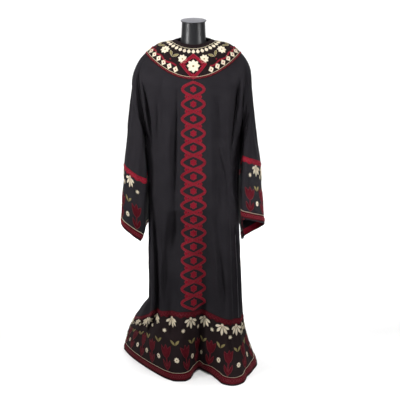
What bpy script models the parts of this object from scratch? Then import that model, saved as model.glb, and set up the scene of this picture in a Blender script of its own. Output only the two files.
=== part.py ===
"""Costume robe with a round yoke and wide hanging sleeves, on a limbless dress form.

Metres, +Z up, the front of the robe facing -Y. The origin is on the floor under the pole.
Every cloth piece is a closed wall through rows of points, worked out from the sizes below.
Rows run from the neck down, and columns run counterclockwise as seen from above.
"""
import math
from collections import namedtuple

import bmesh
import bpy
import numpy as np

# Cloth and seams
CLOTH = 0.002
SEAM_GAP = 0.0003
MITER_LIMIT = 1.9
SAME_POINT_DIGITS = 6
SHARP_EDGE = math.radians(40)

# Levels of the robe
CHEST = 1.30
ARMPIT = 1.08
BELOW_ARMPIT = 1.063
THIGH = 0.60
FLARE_TOP = 0.31

# Angles round the neck at which the armhole seams leave the yoke's edge
FRONT_SEAM_ANGLE = math.radians(70)
BACK_SEAM_ANGLE = math.radians(110)
BODY_SQUARENESS = 2.4

# How far a shoulder's curve runs on along the yoke's slope, as a share of its length
SHOULDER_PULL = 0.36

# How early the skirt leaves the body's line on the left, and how late on the right
LEFT_FLARE = 1.45
RIGHT_FLARE = 2.3

# Columns across each piece, and rows down it
BACK_COLUMNS = 26
YOKE_ROWS = 4
CROWN_ROWS = 4
HEM_ROWS = 5
CUFF_ROWS = 5
BODY_LEVELS = (1.30, 1.25, 1.19, 1.13, 1.08, 1.063, 0.99, 0.91, 0.83, 0.75, 0.67, 0.60)
BODY_LOWER_STEPS = (0.28, 0.52, 0.72, 0.88, 1.0)
SLEEVE_LEVELS = (1.30, 1.25, 1.19, 1.13, 1.08, 1.063)
SLEEVE_LOWER_STEPS = (0.35, 0.7, 1.0)

# Front columns stand close together over the deep fold at the middle of the hem
FRONT_STEPS = ((-1.0, -0.16, 10), (-0.16, 0.44, 16), (0.44, 1.0, 8))
SLEEVE_STEPS = (
    (0.0, 1 / 14, 1),
    (1 / 14, 3 / 14, 2),
    (3 / 14, 6 / 14, 5),
    (6 / 14, 8 / 14, 2),
    (8 / 14, 11 / 14, 5),
    (11 / 14, 13 / 14, 2),
    (13 / 14, 1.0, 1),
)

# A ring round the neck: half widths, depths to front and back, and heights
Ring = namedtuple("Ring", "half front back side_height front_height back_height")
NECKLINE = Ring(0.097, 0.086, 0.076, 1.503, 1.474, 1.508)
YOKE_EDGE = Ring(0.215, 0.136, 0.128, 1.447, 1.338, 1.362)

# The yoke's plain edge above the neckline: its rise and inward lean, and their change at the sides
NECK_EDGE_HEIGHT = 0.013
NECK_EDGE_LEAN = 0.005
NECK_SIDE_LEAN = 0.013
NECK_SIDE_DROP = 0.0065

# The yoke's bulge over a straight line, and its shares to the side, to the front, and upward
# at the front
YOKE_BULGE = 0.012
BULGE_SIDEWAYS = 0.45
BULGE_FORWARD = 0.60
BULGE_UP_IN_FRONT = 0.35

# Body of the robe at each height, from its middle
Body = namedtuple("Body", "height left right front back")
BODY = (
    Body(1.30, 0.240, 0.226, 0.146, 0.138),
    Body(1.25, 0.231, 0.217, 0.152, 0.143),
    Body(1.19, 0.219, 0.207, 0.157, 0.146),
    Body(1.13, 0.208, 0.200, 0.160, 0.148),
    Body(1.08, 0.201, 0.197, 0.163, 0.150),
    Body(0.99, 0.204, 0.201, 0.166, 0.152),
    Body(0.83, 0.208, 0.207, 0.171, 0.157),
    Body(0.60, 0.212, 0.213, 0.178, 0.166),
    Body(0.40, 0.212, 0.222, 0.188, 0.180),
    Body(0.25, 0.212, 0.227, 0.198, 0.190),
    Body(0.00, 0.212, 0.230, 0.205, 0.200),
)

# How far the armhole seam lies to the front or the back of the side
Armhole = namedtuple("Armhole", "height depth")
ARMHOLE = (
    Armhole(1.30, 0.080),
    Armhole(1.25, 0.077),
    Armhole(1.19, 0.064),
    Armhole(1.13, 0.038),
    Armhole(1.08, 0.0),
)

# Hanging sleeve at each height: its outer reach, its front and back folds, and its inner face
Sleeve = namedtuple("Sleeve", "height outer front_x front_y back_x back_y inner")
SLEEVE_LEFT = (
    Sleeve(1.30, 0.277, 0.246, 0.093, 0.246, 0.091, 0.251),
    Sleeve(1.19, 0.290, 0.224, 0.114, 0.230, 0.108, 0.238),
    Sleeve(1.08, 0.302, 0.209, 0.130, 0.222, 0.124, 0.226),
    Sleeve(0.96, 0.314, 0.203, 0.140, 0.222, 0.134, 0.228),
    Sleeve(0.87, 0.321, 0.202, 0.143, 0.226, 0.138, 0.230),
    Sleeve(0.78, 0.330, 0.210, 0.138, 0.234, 0.136, 0.235),
    Sleeve(0.68, 0.335, 0.226, 0.122, 0.240, 0.126, 0.240),
    Sleeve(0.58, 0.336, 0.246, 0.100, 0.248, 0.112, 0.248),
)
SLEEVE_RIGHT = (
    Sleeve(1.30, 0.262, 0.238, 0.093, 0.236, 0.091, 0.240),
    Sleeve(1.19, 0.273, 0.213, 0.118, 0.220, 0.108, 0.232),
    Sleeve(1.08, 0.285, 0.188, 0.138, 0.218, 0.124, 0.226),
    Sleeve(0.96, 0.303, 0.178, 0.148, 0.220, 0.134, 0.228),
    Sleeve(0.87, 0.310, 0.182, 0.150, 0.224, 0.138, 0.230),
    Sleeve(0.78, 0.319, 0.196, 0.142, 0.228, 0.138, 0.234),
    Sleeve(0.68, 0.327, 0.222, 0.116, 0.228, 0.130, 0.236),
    Sleeve(0.58, 0.334, 0.240, 0.096, 0.230, 0.116, 0.240),
)

# The hanging sleeve's section from its seam: shares of the way from its inner face to its fold,
# then of the way from the fold to the outer reach
Turn = namedtuple("Turn", "across deep")
INNER_TURNS = (Turn(0.0, 0.0), Turn(0.0, 0.10), Turn(0.0, 0.42), Turn(0.40, 0.74))
OUTER_TURNS = (Turn(0.0, 1.0), Turn(0.42, 0.96), Turn(0.85, 0.58))

# At the chest the sleeve is an arc that turns this far from its outermost line to each seam
ARC_TURN = math.radians(110)
ARC_SIDE = math.radians(90)

# Heights of the cuff's seam and of its open end, at four places round the sleeve
Cuff = namedtuple("Cuff", "inner front outer back")
CuffPlace = namedtuple("CuffPlace", "share height")
CUFF_SEAM_LEFT = Cuff(0.905, 0.905, 0.962, 0.930)
CUFF_END_LEFT = Cuff(0.600, 0.606, 0.676, 0.626)
CUFF_SEAM_RIGHT = Cuff(0.950, 1.008, 0.962, 0.905)
CUFF_END_RIGHT = Cuff(0.640, 0.722, 0.668, 0.590)

# Hem on the floor, its lift at the deep fold, and the height of the band's seam above it
Hem = namedtuple("Hem", "across x y lift seam")
HEM_FRONT = (
    Hem(-1.00, -0.345, 0.160, 0.0, 0.195),
    Hem(-0.86, -0.312, 0.074, 0.0, 0.235),
    Hem(-0.72, -0.247, -0.054, 0.0, 0.272),
    Hem(-0.56, -0.180, -0.160, 0.0, 0.296),
    Hem(-0.40, -0.116, -0.240, 0.0, 0.300),
    Hem(-0.28, -0.080, -0.264, 0.0, 0.300),
    Hem(-0.15, -0.041, -0.262, 0.0, 0.303),
    Hem(-0.06, -0.014, -0.232, 0.0, 0.307),
    Hem(0.00, 0.000, -0.178, 0.012, 0.307),
    Hem(0.07, 0.018, -0.154, 0.022, 0.300),
    Hem(0.16, 0.052, -0.154, 0.022, 0.290),
    Hem(0.23, 0.076, -0.174, 0.010, 0.282),
    Hem(0.31, 0.103, -0.238, 0.0, 0.272),
    Hem(0.39, 0.133, -0.298, 0.0, 0.266),
    Hem(0.50, 0.174, -0.316, 0.0, 0.262),
    Hem(0.61, 0.218, -0.286, 0.0, 0.258),
    Hem(0.72, 0.246, -0.204, 0.0, 0.254),
    Hem(0.84, 0.277, -0.120, 0.0, 0.250),
    Hem(0.93, 0.298, -0.045, 0.0, 0.246),
    Hem(1.00, 0.298, 0.030, 0.0, 0.242),
)
HEM_BACK = (
    Hem(-1.00, 0.298, 0.030, 0.0, 0.242),
    Hem(-0.86, 0.286, 0.112, 0.0, 0.242),
    Hem(-0.70, 0.266, 0.200, 0.0, 0.250),
    Hem(-0.54, 0.212, 0.250, 0.0, 0.258),
    Hem(-0.38, 0.152, 0.238, 0.0, 0.264),
    Hem(-0.20, 0.082, 0.288, 0.0, 0.268),
    Hem(-0.02, 0.006, 0.262, 0.0, 0.270),
    Hem(0.18, -0.072, 0.292, 0.0, 0.266),
    Hem(0.36, -0.152, 0.262, 0.0, 0.258),
    Hem(0.54, -0.222, 0.300, 0.0, 0.246),
    Hem(0.72, -0.296, 0.286, 0.0, 0.228),
    Hem(0.87, -0.344, 0.232, 0.0, 0.210),
    Hem(1.00, -0.345, 0.160, 0.0, 0.195),
)

# Soft folds: place across the panel, half width, outward depth, and the heights
# at which each fold begins, is deepest, and ends
Fold = namedtuple("Fold", "across width depth top middle bottom")
FRONT_FOLDS = (
    Fold(-0.80, 0.15, -0.032, 1.00, 0.34, 0.00),
    Fold(-0.60, 0.16, 0.012, 1.10, 0.40, 0.05),
    Fold(-0.36, 0.13, -0.010, 1.00, 0.36, 0.05),
    Fold(-0.14, 0.14, 0.010, 0.90, 0.32, 0.05),
    Fold(0.13, 0.17, -0.030, 0.62, 0.26, 0.00),
    Fold(0.40, 0.12, 0.012, 0.95, 0.34, 0.05),
    Fold(0.56, 0.10, -0.012, 1.15, 0.45, 0.05),
    Fold(0.72, 0.10, 0.010, 1.05, 0.45, 0.05),
    Fold(0.86, 0.10, -0.014, 0.80, 0.34, 0.05),
)
BACK_FOLDS = (
    Fold(-0.82, 0.14, -0.018, 1.00, 0.40, 0.02),
    Fold(-0.55, 0.18, 0.016, 1.12, 0.40, 0.04),
    Fold(-0.28, 0.15, -0.018, 1.18, 0.42, 0.02),
    Fold(0.00, 0.18, 0.016, 1.20, 0.40, 0.04),
    Fold(0.28, 0.15, -0.020, 1.15, 0.42, 0.02),
    Fold(0.56, 0.18, 0.014, 1.10, 0.38, 0.04),
    Fold(0.82, 0.14, -0.018, 1.00, 0.40, 0.02),
)

# Dress form: neck rings, then the torso from the shoulders down
NECK_TILT = math.tan(math.radians(11))
NECK_TOP = 1.588
NeckRing = namedtuple("NeckRing", "height half depth")
NECK_LEVELS = (
    NeckRing(1.588, 0.0520, 0.0520),
    NeckRing(1.560, 0.0525, 0.0530),
    NeckRing(1.530, 0.0530, 0.0545),
    NeckRing(1.500, 0.0540, 0.0555),
    NeckRing(1.478, 0.0570, 0.0590),
)
NECK_FOOT = 1.514
NECK_CLEARANCE = 0.022
SHOULDER_CLEARANCE = 0.0008
CHEST_CLEARANCE = 0.006
SHOULDER_STEPS = (0.0, 0.25, 0.5, 0.75, 0.92)
SHOULDER_BEGINS = 0.60
SHOULDER_FULL = 0.95
TORSO_TOP_DROP = 0.012
Torso = namedtuple("Torso", "height half front back")
TORSO = (
    Torso(1.385, 0.203, 0.112, 0.108),
    Torso(1.33, 0.196, 0.124, 0.116),
    Torso(1.26, 0.180, 0.130, 0.118),
    Torso(1.18, 0.163, 0.126, 0.112),
    Torso(1.08, 0.143, 0.110, 0.098),
    Torso(0.98, 0.140, 0.104, 0.096),
    Torso(0.88, 0.156, 0.112, 0.112),
    Torso(0.80, 0.160, 0.114, 0.116),
    Torso(0.765, 0.150, 0.106, 0.108),
)
TORSO_SQUARENESS = 2.2
FORM_COLUMNS = 28
CAP_RADIUS = 0.0575
CAP_THICKNESS = 0.0045
POLE_RADIUS = 0.0145
POLE_Y = 0.03
BASE_RADIUS = 0.12
BASE_THICKNESS = 0.016
BASE_BEVEL = 0.004
FORM_GAP = 0.0003


def clear_scene():
    for item in list(bpy.data.objects):
        bpy.data.objects.remove(item, do_unlink=True)


def make_material(name, color, roughness, metallic=0.0):
    material = bpy.data.materials.new(name)
    material.use_nodes = True
    shader = material.node_tree.nodes["Principled BSDF"]
    shader.inputs["Base Color"].default_value = (*color, 1.0)
    shader.inputs["Roughness"].default_value = roughness
    shader.inputs["Metallic"].default_value = metallic
    return material


def smooth(rows, name, at):
    """Read one column of a table along its first column, by a curve that never overshoots."""
    rows = sorted(rows)
    keys = np.array([row[0] for row in rows])
    values = np.array([getattr(row, name) for row in rows])
    step = np.diff(keys)
    slope = np.diff(values) / step
    tangent = np.zeros(len(keys))
    tangent[0] = slope[0]
    tangent[-1] = slope[-1]
    for k in range(1, len(keys) - 1):
        if slope[k - 1] * slope[k] > 0:
            tangent[k] = 2 * slope[k - 1] * slope[k] / (slope[k - 1] + slope[k])
    at = np.clip(at, keys[0], keys[-1])
    cell = np.clip(np.searchsorted(keys, at, side="right") - 1, 0, len(step) - 1)
    t = (at - keys[cell]) / step[cell]
    rise = values[cell + 1] - values[cell]
    start = tangent[cell] * step[cell]
    end = tangent[cell + 1] * step[cell]
    curve = start * t + (3 * rise - 2 * start - end) * t ** 2
    return values[cell] + curve + (start + end - 2 * rise) * t ** 3


def ease(t):
    t = np.clip(t, 0.0, 1.0)
    return t * t * (3 - 2 * t)


def stack(x, y, z):
    return np.stack(np.broadcast_arrays(x, y, z), axis=-1)


def ring_point(ring, angle):
    """A point of a ring round the neck, at an angle counted from the front towards +X."""
    lean = np.cos(angle) ** 2
    ahead = np.cos(angle) > 0
    depth = np.where(ahead, ring.front, ring.back)
    height = np.where(ahead, ring.front_height, ring.back_height)
    return stack(
        ring.half * np.sin(angle),
        -depth * np.cos(angle),
        ring.side_height + (height - ring.side_height) * lean,
    )


def yoke_point(angle, out):
    """The yoke from the neckline (out 0) to its outer edge (out 1), rounded over the shoulders."""
    inner = ring_point(NECKLINE, angle)
    outer = ring_point(YOKE_EDGE, angle)
    lift = YOKE_BULGE * np.sin(np.pi * np.asarray(out))
    side = np.sin(angle)
    front = -np.cos(angle)
    upward = BULGE_UP_IN_FRONT + (1 - BULGE_UP_IN_FRONT) * side ** 2
    bulge = stack(lift * side * BULGE_SIDEWAYS, lift * front * BULGE_FORWARD, lift * upward)
    return inner + (outer - inner) * np.asarray(out)[..., None] + bulge


def unit(vectors):
    return vectors / np.linalg.norm(vectors, axis=-1, keepdims=True)


def body_across(u):
    """How far across and how far forward a column lies in a body section, each from 0 to 1."""
    angle = u * np.pi / 2
    power = 2 / BODY_SQUARENESS
    across = np.sign(np.sin(angle)) * np.abs(np.sin(angle)) ** power
    ahead = np.abs(np.cos(angle)) ** power
    return across, ahead


def fold_depth(folds, u, z):
    depth = np.zeros(np.broadcast(u, z).shape)
    for fold in folds:
        shape = np.cos(np.clip((u - fold.across) / fold.width, -1, 1) * np.pi / 2) ** 2
        grown = ease((fold.top - z) / (fold.top - fold.middle))
        left = ease((z - fold.bottom) / (fold.middle - fold.bottom))
        depth = depth + fold.depth * shape * grown * left
    return depth


def body_point(u, z, face):
    """Front or back of the body. The front runs from left to right, and the back on from there."""
    is_front = face == "front"
    hem = HEM_FRONT if is_front else HEM_BACK
    folds = FRONT_FOLDS if is_front else BACK_FOLDS
    toward = -1.0 if is_front else 1.0
    across, ahead = body_across(u)
    left = smooth(BODY, "left", z)
    right = smooth(BODY, "right", z)
    depth = smooth(BODY, "front" if is_front else "back", z)
    seam = np.where(z < ARMPIT, 0.0, smooth(ARMHOLE, "depth", z))
    across = across if is_front else -across
    angle = u * np.pi / 2
    push = fold_depth(folds, u, z)
    x = np.where(across < 0, left, right) * across + push * np.sin(angle) * -toward
    y = toward * (seam + (depth - seam) * ahead + push * np.cos(angle))
    floor_x = smooth(hem, "x", u)
    floor_y = smooth(hem, "y", u)
    lift = smooth(hem, "lift", u)
    drop = np.clip((FLARE_TOP - z) / (FLARE_TOP - lift), 0, 1)
    leftness = np.clip(0.5 - 0.5 * across, 0, 1)
    spread = leftness * (1 - (1 - drop) ** LEFT_FLARE) + (1 - leftness) * drop ** RIGHT_FLARE
    return stack(x + (floor_x - x) * spread, y + (floor_y - y) * spread, z)


def sleeve_half(inner, fold_x, fold_y, outer, seam):
    """Points of a hanging sleeve from its seam to its fold, and on towards its outer reach."""
    points = [
        (inner + (fold_x - inner) * turn.across, seam + (fold_y - seam) * turn.deep)
        for turn in INNER_TURNS
    ]
    points += [(fold_x + (outer - fold_x) * turn.across, fold_y * turn.deep) for turn in OUTER_TURNS]
    return points


def sleeve_controls(z, rows, half, seam):
    """Points that a sleeve's section passes through, from the front seam round to the back seam."""
    outer = smooth(rows, "outer", z)
    front_y = smooth(rows, "front_y", z)
    back_y = smooth(rows, "back_y", z)
    inner = smooth(rows, "inner", z)
    front_half = sleeve_half(inner, smooth(rows, "front_x", z), front_y, outer, seam)
    back_half = sleeve_half(inner, smooth(rows, "back_x", z), back_y, outer, seam)
    hanging = [(x, -y) for x, y in front_half] + [(outer, 0 * z)] + back_half[::-1]
    tuck = -math.cos(ARC_TURN)
    middle = half + tuck / (1 + tuck) * (outer - half)
    last = len(hanging) - 1
    hung = ease((CHEST - z) / (CHEST - ARMPIT))
    above = z >= ARMPIT
    points = []
    for k, (hang_x, hang_y) in enumerate(hanging):
        turn = ARC_TURN * (2 * k / last - 1)
        reach = front_y if turn < 0 else back_y
        past = math.sqrt(max(abs(turn) - ARC_SIDE, 0.0) / (ARC_TURN - ARC_SIDE))
        open_x = middle + (outer - middle) * max(math.cos(turn), 0.0)
        open_y = reach * math.sin(np.clip(turn, -ARC_SIDE, ARC_SIDE))
        open_y = open_y + np.sign(-turn) * past * (reach - seam)
        x = open_x + (hang_x - open_x) * hung
        y = open_y + (hang_y - open_y) * hung
        if k in (0, last):
            sign = -1.0 if k == 0 else 1.0
            x = np.where(above, half, inner)
            y = np.where(above, sign * seam, 0.0)
        points.append(np.stack([x, y], axis=-1))
    return np.stack(points)


def sleeve_point(s, z, side):
    """A sleeve from its front edge (s 0) round the outside to its back edge (s 1), on one side."""
    rows = SLEEVE_LEFT if side == "left" else SLEEVE_RIGHT
    s, z = np.broadcast_arrays(s, z)
    half = smooth(BODY, side, z)
    seam = np.where(z < ARMPIT, 0.0, smooth(ARMHOLE, "depth", z))
    controls = sleeve_controls(z, rows, half, seam)
    last = len(controls) - 1
    cell = np.clip(np.floor(s * last).astype(int), 0, last - 1)
    t = (s * last - cell)[..., None]
    grid = np.indices(s.shape)
    before = controls[(np.maximum(cell - 1, 0), *grid)]
    start = controls[(cell, *grid)]
    end = controls[(cell + 1, *grid)]
    after = controls[(np.minimum(cell + 2, last), *grid)]
    into = (end - before) / 2
    out = (after - start) / 2
    plan = start + into * t + (3 * (end - start) - 2 * into - out) * t ** 2
    plan = plan + (into + out - 2 * (end - start)) * t ** 3
    mirror = -1.0 if side == "left" else 1.0
    return stack(mirror * plan[..., 0], plan[..., 1], z)


def cuff_height(cuff, s):
    """Height of a line round the sleeve, given at its inner, front, outer and back places."""
    places = (
        CuffPlace(0.0, cuff.inner),
        CuffPlace(0.25, cuff.front),
        CuffPlace(0.5, cuff.outer),
        CuffPlace(0.75, cuff.back),
        CuffPlace(1.0, cuff.inner),
    )
    return smooth(places, "height", s)


def crown(angle, chest, t):
    """From the yoke's edge down to the chest line, leaving the yoke along its slope."""
    edge = yoke_point(angle, np.ones_like(angle))
    slope = unit(edge - yoke_point(angle, np.full_like(angle, 0.9)))
    length = np.linalg.norm(chest - edge, axis=-1, keepdims=True)
    first = edge + slope * length * SHOULDER_PULL
    second = chest + np.array([0.0, 0.0, 1.0]) * length * SHOULDER_PULL
    return (
        edge * (1 - t) ** 3
        + first * 3 * t * (1 - t) ** 2
        + second * 3 * t ** 2 * (1 - t)
        + chest * t ** 3
    )


def front_angle(u):
    across, _ = body_across(u)
    return np.arcsin(np.sin(FRONT_SEAM_ANGLE) * across)


def back_angle(u):
    across, _ = body_across(u)
    return np.pi + np.arcsin(np.sin(BACK_SEAM_ANGLE) * across)


def sleeve_angle(s, side):
    if side == "right":
        return FRONT_SEAM_ANGLE + (BACK_SEAM_ANGLE - FRONT_SEAM_ANGLE) * s
    return -FRONT_SEAM_ANGLE - (BACK_SEAM_ANGLE - FRONT_SEAM_ANGLE) * s


def steps(spans):
    values = [spans[0][0]]
    for start, end, count in spans:
        values.extend(start + (end - start) * (k + 1) / count for k in range(count))
    return np.array(values)


def body_panel(u, face):
    """Rows of a front or back panel, from the yoke's edge to the seam of its hem band."""
    chest = body_point(u, np.full_like(u, CHEST), face)
    angle = front_angle(u) if face == "front" else back_angle(u)
    rows = [crown(angle, chest, k / CROWN_ROWS) for k in range(CROWN_ROWS)]
    rows += [body_point(u, np.full_like(u, level), face) for level in BODY_LEVELS]
    seam = smooth(HEM_FRONT if face == "front" else HEM_BACK, "seam", u)
    rows += [body_point(u, THIGH + (seam - THIGH) * step, face) for step in BODY_LOWER_STEPS]
    return np.stack(rows)


def hem_band(u, face):
    table = HEM_FRONT if face == "front" else HEM_BACK
    seam = smooth(table, "seam", u)
    lift = smooth(table, "lift", u)
    rows = [body_point(u, seam + (lift - seam) * k / HEM_ROWS, face) for k in range(HEM_ROWS + 1)]
    return np.stack(rows)


def sleeve_panel(s, side):
    cuff = CUFF_SEAM_LEFT if side == "left" else CUFF_SEAM_RIGHT
    chest = sleeve_point(s, np.full_like(s, CHEST), side)
    rows = [crown(sleeve_angle(s, side), chest, k / CROWN_ROWS) for k in range(CROWN_ROWS)]
    rows += [sleeve_point(s, np.full_like(s, level), side) for level in SLEEVE_LEVELS]
    seam = cuff_height(cuff, s)
    drop = seam - BELOW_ARMPIT
    rows += [sleeve_point(s, BELOW_ARMPIT + drop * step, side) for step in SLEEVE_LOWER_STEPS]
    return np.stack(rows)


def cuff_band(s, side):
    top = cuff_height(CUFF_SEAM_LEFT if side == "left" else CUFF_SEAM_RIGHT, s)
    end = cuff_height(CUFF_END_LEFT if side == "left" else CUFF_END_RIGHT, s)
    shares = np.linspace(0.0, 1.0, CUFF_ROWS + 1)
    return np.stack([sleeve_point(s, top + (end - top) * share, side) for share in shares])


def neck_edge(neckline, angles):
    """The yoke's plain edge, which stands up round the neck and lies flatter at its sides."""
    side = np.sin(angles)[:, None] ** 2
    inward = -unit(neckline * np.array([1.0, 1.0, 0.0]))
    height = NECK_EDGE_HEIGHT - NECK_SIDE_DROP * side
    rise = inward * (NECK_EDGE_LEAN + NECK_SIDE_LEAN * side)
    return neckline + rise + np.array([0.0, 0.0, 1.0]) * height


def yoke_panel(angles):
    shares = np.linspace(0.0, 1.0, YOKE_ROWS + 1)
    rows = [yoke_point(angles, np.full_like(angles, share)) for share in shares]
    return np.stack([neck_edge(rows[0], angles)] + rows)


def robe_panels():
    """Middle surface of every piece. The left sleeve's columns run from back to front."""
    front_u = steps(FRONT_STEPS)
    back_u = np.linspace(-1, 1, BACK_COLUMNS + 1)
    s = steps(SLEEVE_STEPS)
    panels = {
        "front": body_panel(front_u, "front"),
        "back": body_panel(back_u, "back"),
        "hem_front": hem_band(front_u, "front"),
        "hem_back": hem_band(back_u, "back"),
        "sleeve_right": sleeve_panel(s, "right"),
        "cuff_right": cuff_band(s, "right"),
        "sleeve_left": sleeve_panel(s, "left")[:, ::-1],
        "cuff_left": cuff_band(s, "left")[:, ::-1],
    }
    full_turn = 2 * np.pi
    angles = np.concatenate([
        front_angle(front_u)[:-1],
        sleeve_angle(s, "right")[:-1],
        back_angle(back_u)[:-1],
        full_turn + sleeve_angle(s, "left")[::-1],
    ])
    panels["yoke"] = yoke_panel(angles)
    return panels


def shared_offsets(panels):
    """One offset for each point that pieces share, so that their walls meet along a mitre."""
    shares = {}
    leans = {}
    for name, grid in panels.items():
        down = grid[1:, :-1] - grid[:-1, 1:]
        along = grid[1:, 1:] - grid[:-1, :-1]
        normals = np.cross(down, along)
        for (i, j) in np.ndindex(normals.shape[:2]):
            for point in (grid[i, j], grid[i + 1, j], grid[i, j + 1], grid[i + 1, j + 1]):
                key = tuple(np.round(point, SAME_POINT_DIGITS))
                share = shares.setdefault(key, {})
                share[name] = share.get(name, 0) + normals[i, j]
                leans.setdefault(key, []).append(unit(normals[i, j]))
    offsets = {}
    for key, share in shares.items():
        normal = unit(sum(unit(vector) for vector in share.values()))
        straightness = min(float(lean @ normal) for lean in leans[key])
        offsets[key] = normal * min(1 / max(straightness, 0.01), MITER_LIMIT)
    return offsets


def pull_in(skin, closed):
    """Draw a piece's edges back by half the seam gap, along the cloth, and rest it on the floor."""
    moved = skin.copy()
    half = SEAM_GAP / 2
    moved[0] += unit(skin[1] - skin[0]) * half
    moved[-1] += unit(skin[-2] - skin[-1]) * half
    if not closed:
        moved[:, 0] += unit(skin[:, 1] - skin[:, 0]) * half
        moved[:, -1] += unit(skin[:, -2] - skin[:, -1]) * half
    moved[..., 2] = np.maximum(moved[..., 2], 0.0)
    return moved


def rim(mesh, outer_next, outer, inner_next, inner, turned):
    """Two triangles of an edge, cut along the same diagonal on both sides of a seam."""
    for corners in ((outer_next, outer, inner), (outer_next, inner, inner_next)):
        mesh.faces.new(reversed(corners) if turned else corners)


def cloth_wall(name, grid, offsets, material, collection, closed=False):
    """A closed wall of the cloth's thickness through a grid of points."""
    lean = np.array([
        [offsets[tuple(np.round(point, SAME_POINT_DIGITS))] for point in row]
        for row in grid
    ])
    outer = pull_in(grid + lean * CLOTH / 2, closed)
    inner = pull_in(grid - lean * CLOTH / 2, closed)
    rows, columns = grid.shape[:2]
    count = columns - 1 if closed else columns
    mesh = bmesh.new()
    front = [[mesh.verts.new(point) for point in row[:count]] for row in outer]
    back = [[mesh.verts.new(point) for point in row[:count]] for row in inner]
    for i in range(rows - 1):
        for j in range(columns - 1):
            k = (j + 1) % count
            falling = np.linalg.norm(grid[i, j] - grid[i + 1, j + 1])
            rising = np.linalg.norm(grid[i + 1, j] - grid[i, j + 1])
            corners = ((i, j), (i + 1, j), (i + 1, k), (i, k))
            picks = ((0, 1, 2), (0, 2, 3)) if falling <= rising else ((0, 1, 3), (1, 2, 3))
            for pick in picks:
                mesh.faces.new([front[corners[c][0]][corners[c][1]] for c in pick])
                mesh.faces.new([back[corners[c][0]][corners[c][1]] for c in reversed(pick)])
    for j in range(columns - 1):
        k = (j + 1) % count
        rim(mesh, front[0][k], front[0][j], back[0][k], back[0][j], True)
        rim(mesh, front[-1][k], front[-1][j], back[-1][k], back[-1][j], False)
    if not closed:
        for i in range(rows - 1):
            rim(mesh, front[i + 1][0], front[i][0], back[i + 1][0], back[i][0], False)
            rim(mesh, front[i + 1][-1], front[i][-1], back[i + 1][-1], back[i][-1], True)
    add_mesh(name, mesh, material, collection)


def add_mesh(name, mesh, material, collection):
    data = bpy.data.meshes.new(name)
    mesh.to_mesh(data)
    mesh.free()
    data.shade_smooth()
    data.set_sharp_from_angle(angle=SHARP_EDGE)
    data.materials.append(material)
    item = bpy.data.objects.new(name, data)
    collection.objects.link(item)
    return item


def form_rings():
    """Rings of the dress form, from the top of the neck to its flat underside."""
    angle = np.arange(FORM_COLUMNS) * 2 * np.pi / FORM_COLUMNS
    rings = []
    for height, half, depth in NECK_LEVELS:
        tilt = NECK_TILT * ease((height - NECK_FOOT) / (NECK_TOP - NECK_FOOT))
        y = -depth * np.cos(angle)
        rings.append(stack(half * np.sin(angle), y, height + tilt * y))
    for out in SHOULDER_STEPS:
        here = yoke_point(angle, np.full_like(angle, out))
        ahead = yoke_point(angle, np.full_like(angle, out + 0.01)) - here
        beside = yoke_point(angle + 0.01, np.full_like(angle, out)) - here
        normal = unit(np.cross(ahead, beside))
        sideways = np.abs(np.sin(angle))[:, None]
        close = ease((sideways - SHOULDER_BEGINS) / (SHOULDER_FULL - SHOULDER_BEGINS))
        beside_neck = NECK_CLEARANCE if out == SHOULDER_STEPS[0] else SHOULDER_CLEARANCE
        clearance = CHEST_CLEARANCE + (beside_neck - CHEST_CLEARANCE) * close
        rings.append(here - normal * (CLOTH / 2 + clearance))
    power = 2 / TORSO_SQUARENESS
    across = np.sign(np.sin(angle)) * np.abs(np.sin(angle)) ** power
    ahead = np.sign(np.cos(angle)) * np.abs(np.cos(angle)) ** power
    shoulder_edge = rings[-1][:, 2]
    for level in TORSO:
        depth = np.where(ahead > 0, level.front, level.back)
        lowered = shoulder_edge - TORSO_TOP_DROP - (TORSO[0].height - level.height) / 2
        height = np.minimum(level.height, lowered)
        rings.append(stack(level.half * across, -depth * ahead, np.maximum(height, TORSO[-1].height)))
    return rings


def dress_form(material, collection):
    rings = form_rings()
    mesh = bmesh.new()
    verts = [[mesh.verts.new(point) for point in ring] for ring in rings]
    for upper, lower in zip(verts, verts[1:]):
        for j in range(FORM_COLUMNS):
            k = (j + 1) % FORM_COLUMNS
            mesh.faces.new((upper[j], lower[j], lower[k], upper[k]))
    for ring, turned in ((verts[0], True), (verts[-1], False)):
        centre = mesh.verts.new(np.mean([vert.co for vert in ring], axis=0))
        for j in range(FORM_COLUMNS):
            k = (j + 1) % FORM_COLUMNS
            corner = (ring[j], ring[k], centre) if turned else (ring[k], ring[j], centre)
            mesh.faces.new(corner)
    add_mesh("form_torso", mesh, material, collection)


def cylinder(name, radius, bottom, top, y, material, collection, segments=32, bevel=0.0):
    mesh = bmesh.new()
    bmesh.ops.create_cone(
        mesh,
        cap_ends=True,
        segments=segments,
        radius1=radius,
        radius2=radius,
        depth=top - bottom,
    )
    item = add_mesh(name, mesh, material, collection)
    item.location = (0.0, y, (top + bottom) / 2)
    if bevel:
        edge = item.modifiers.new("Edge", "BEVEL")
        edge.width = bevel
        edge.segments = 2
        edge.limit_method = "ANGLE"
    return item


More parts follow.
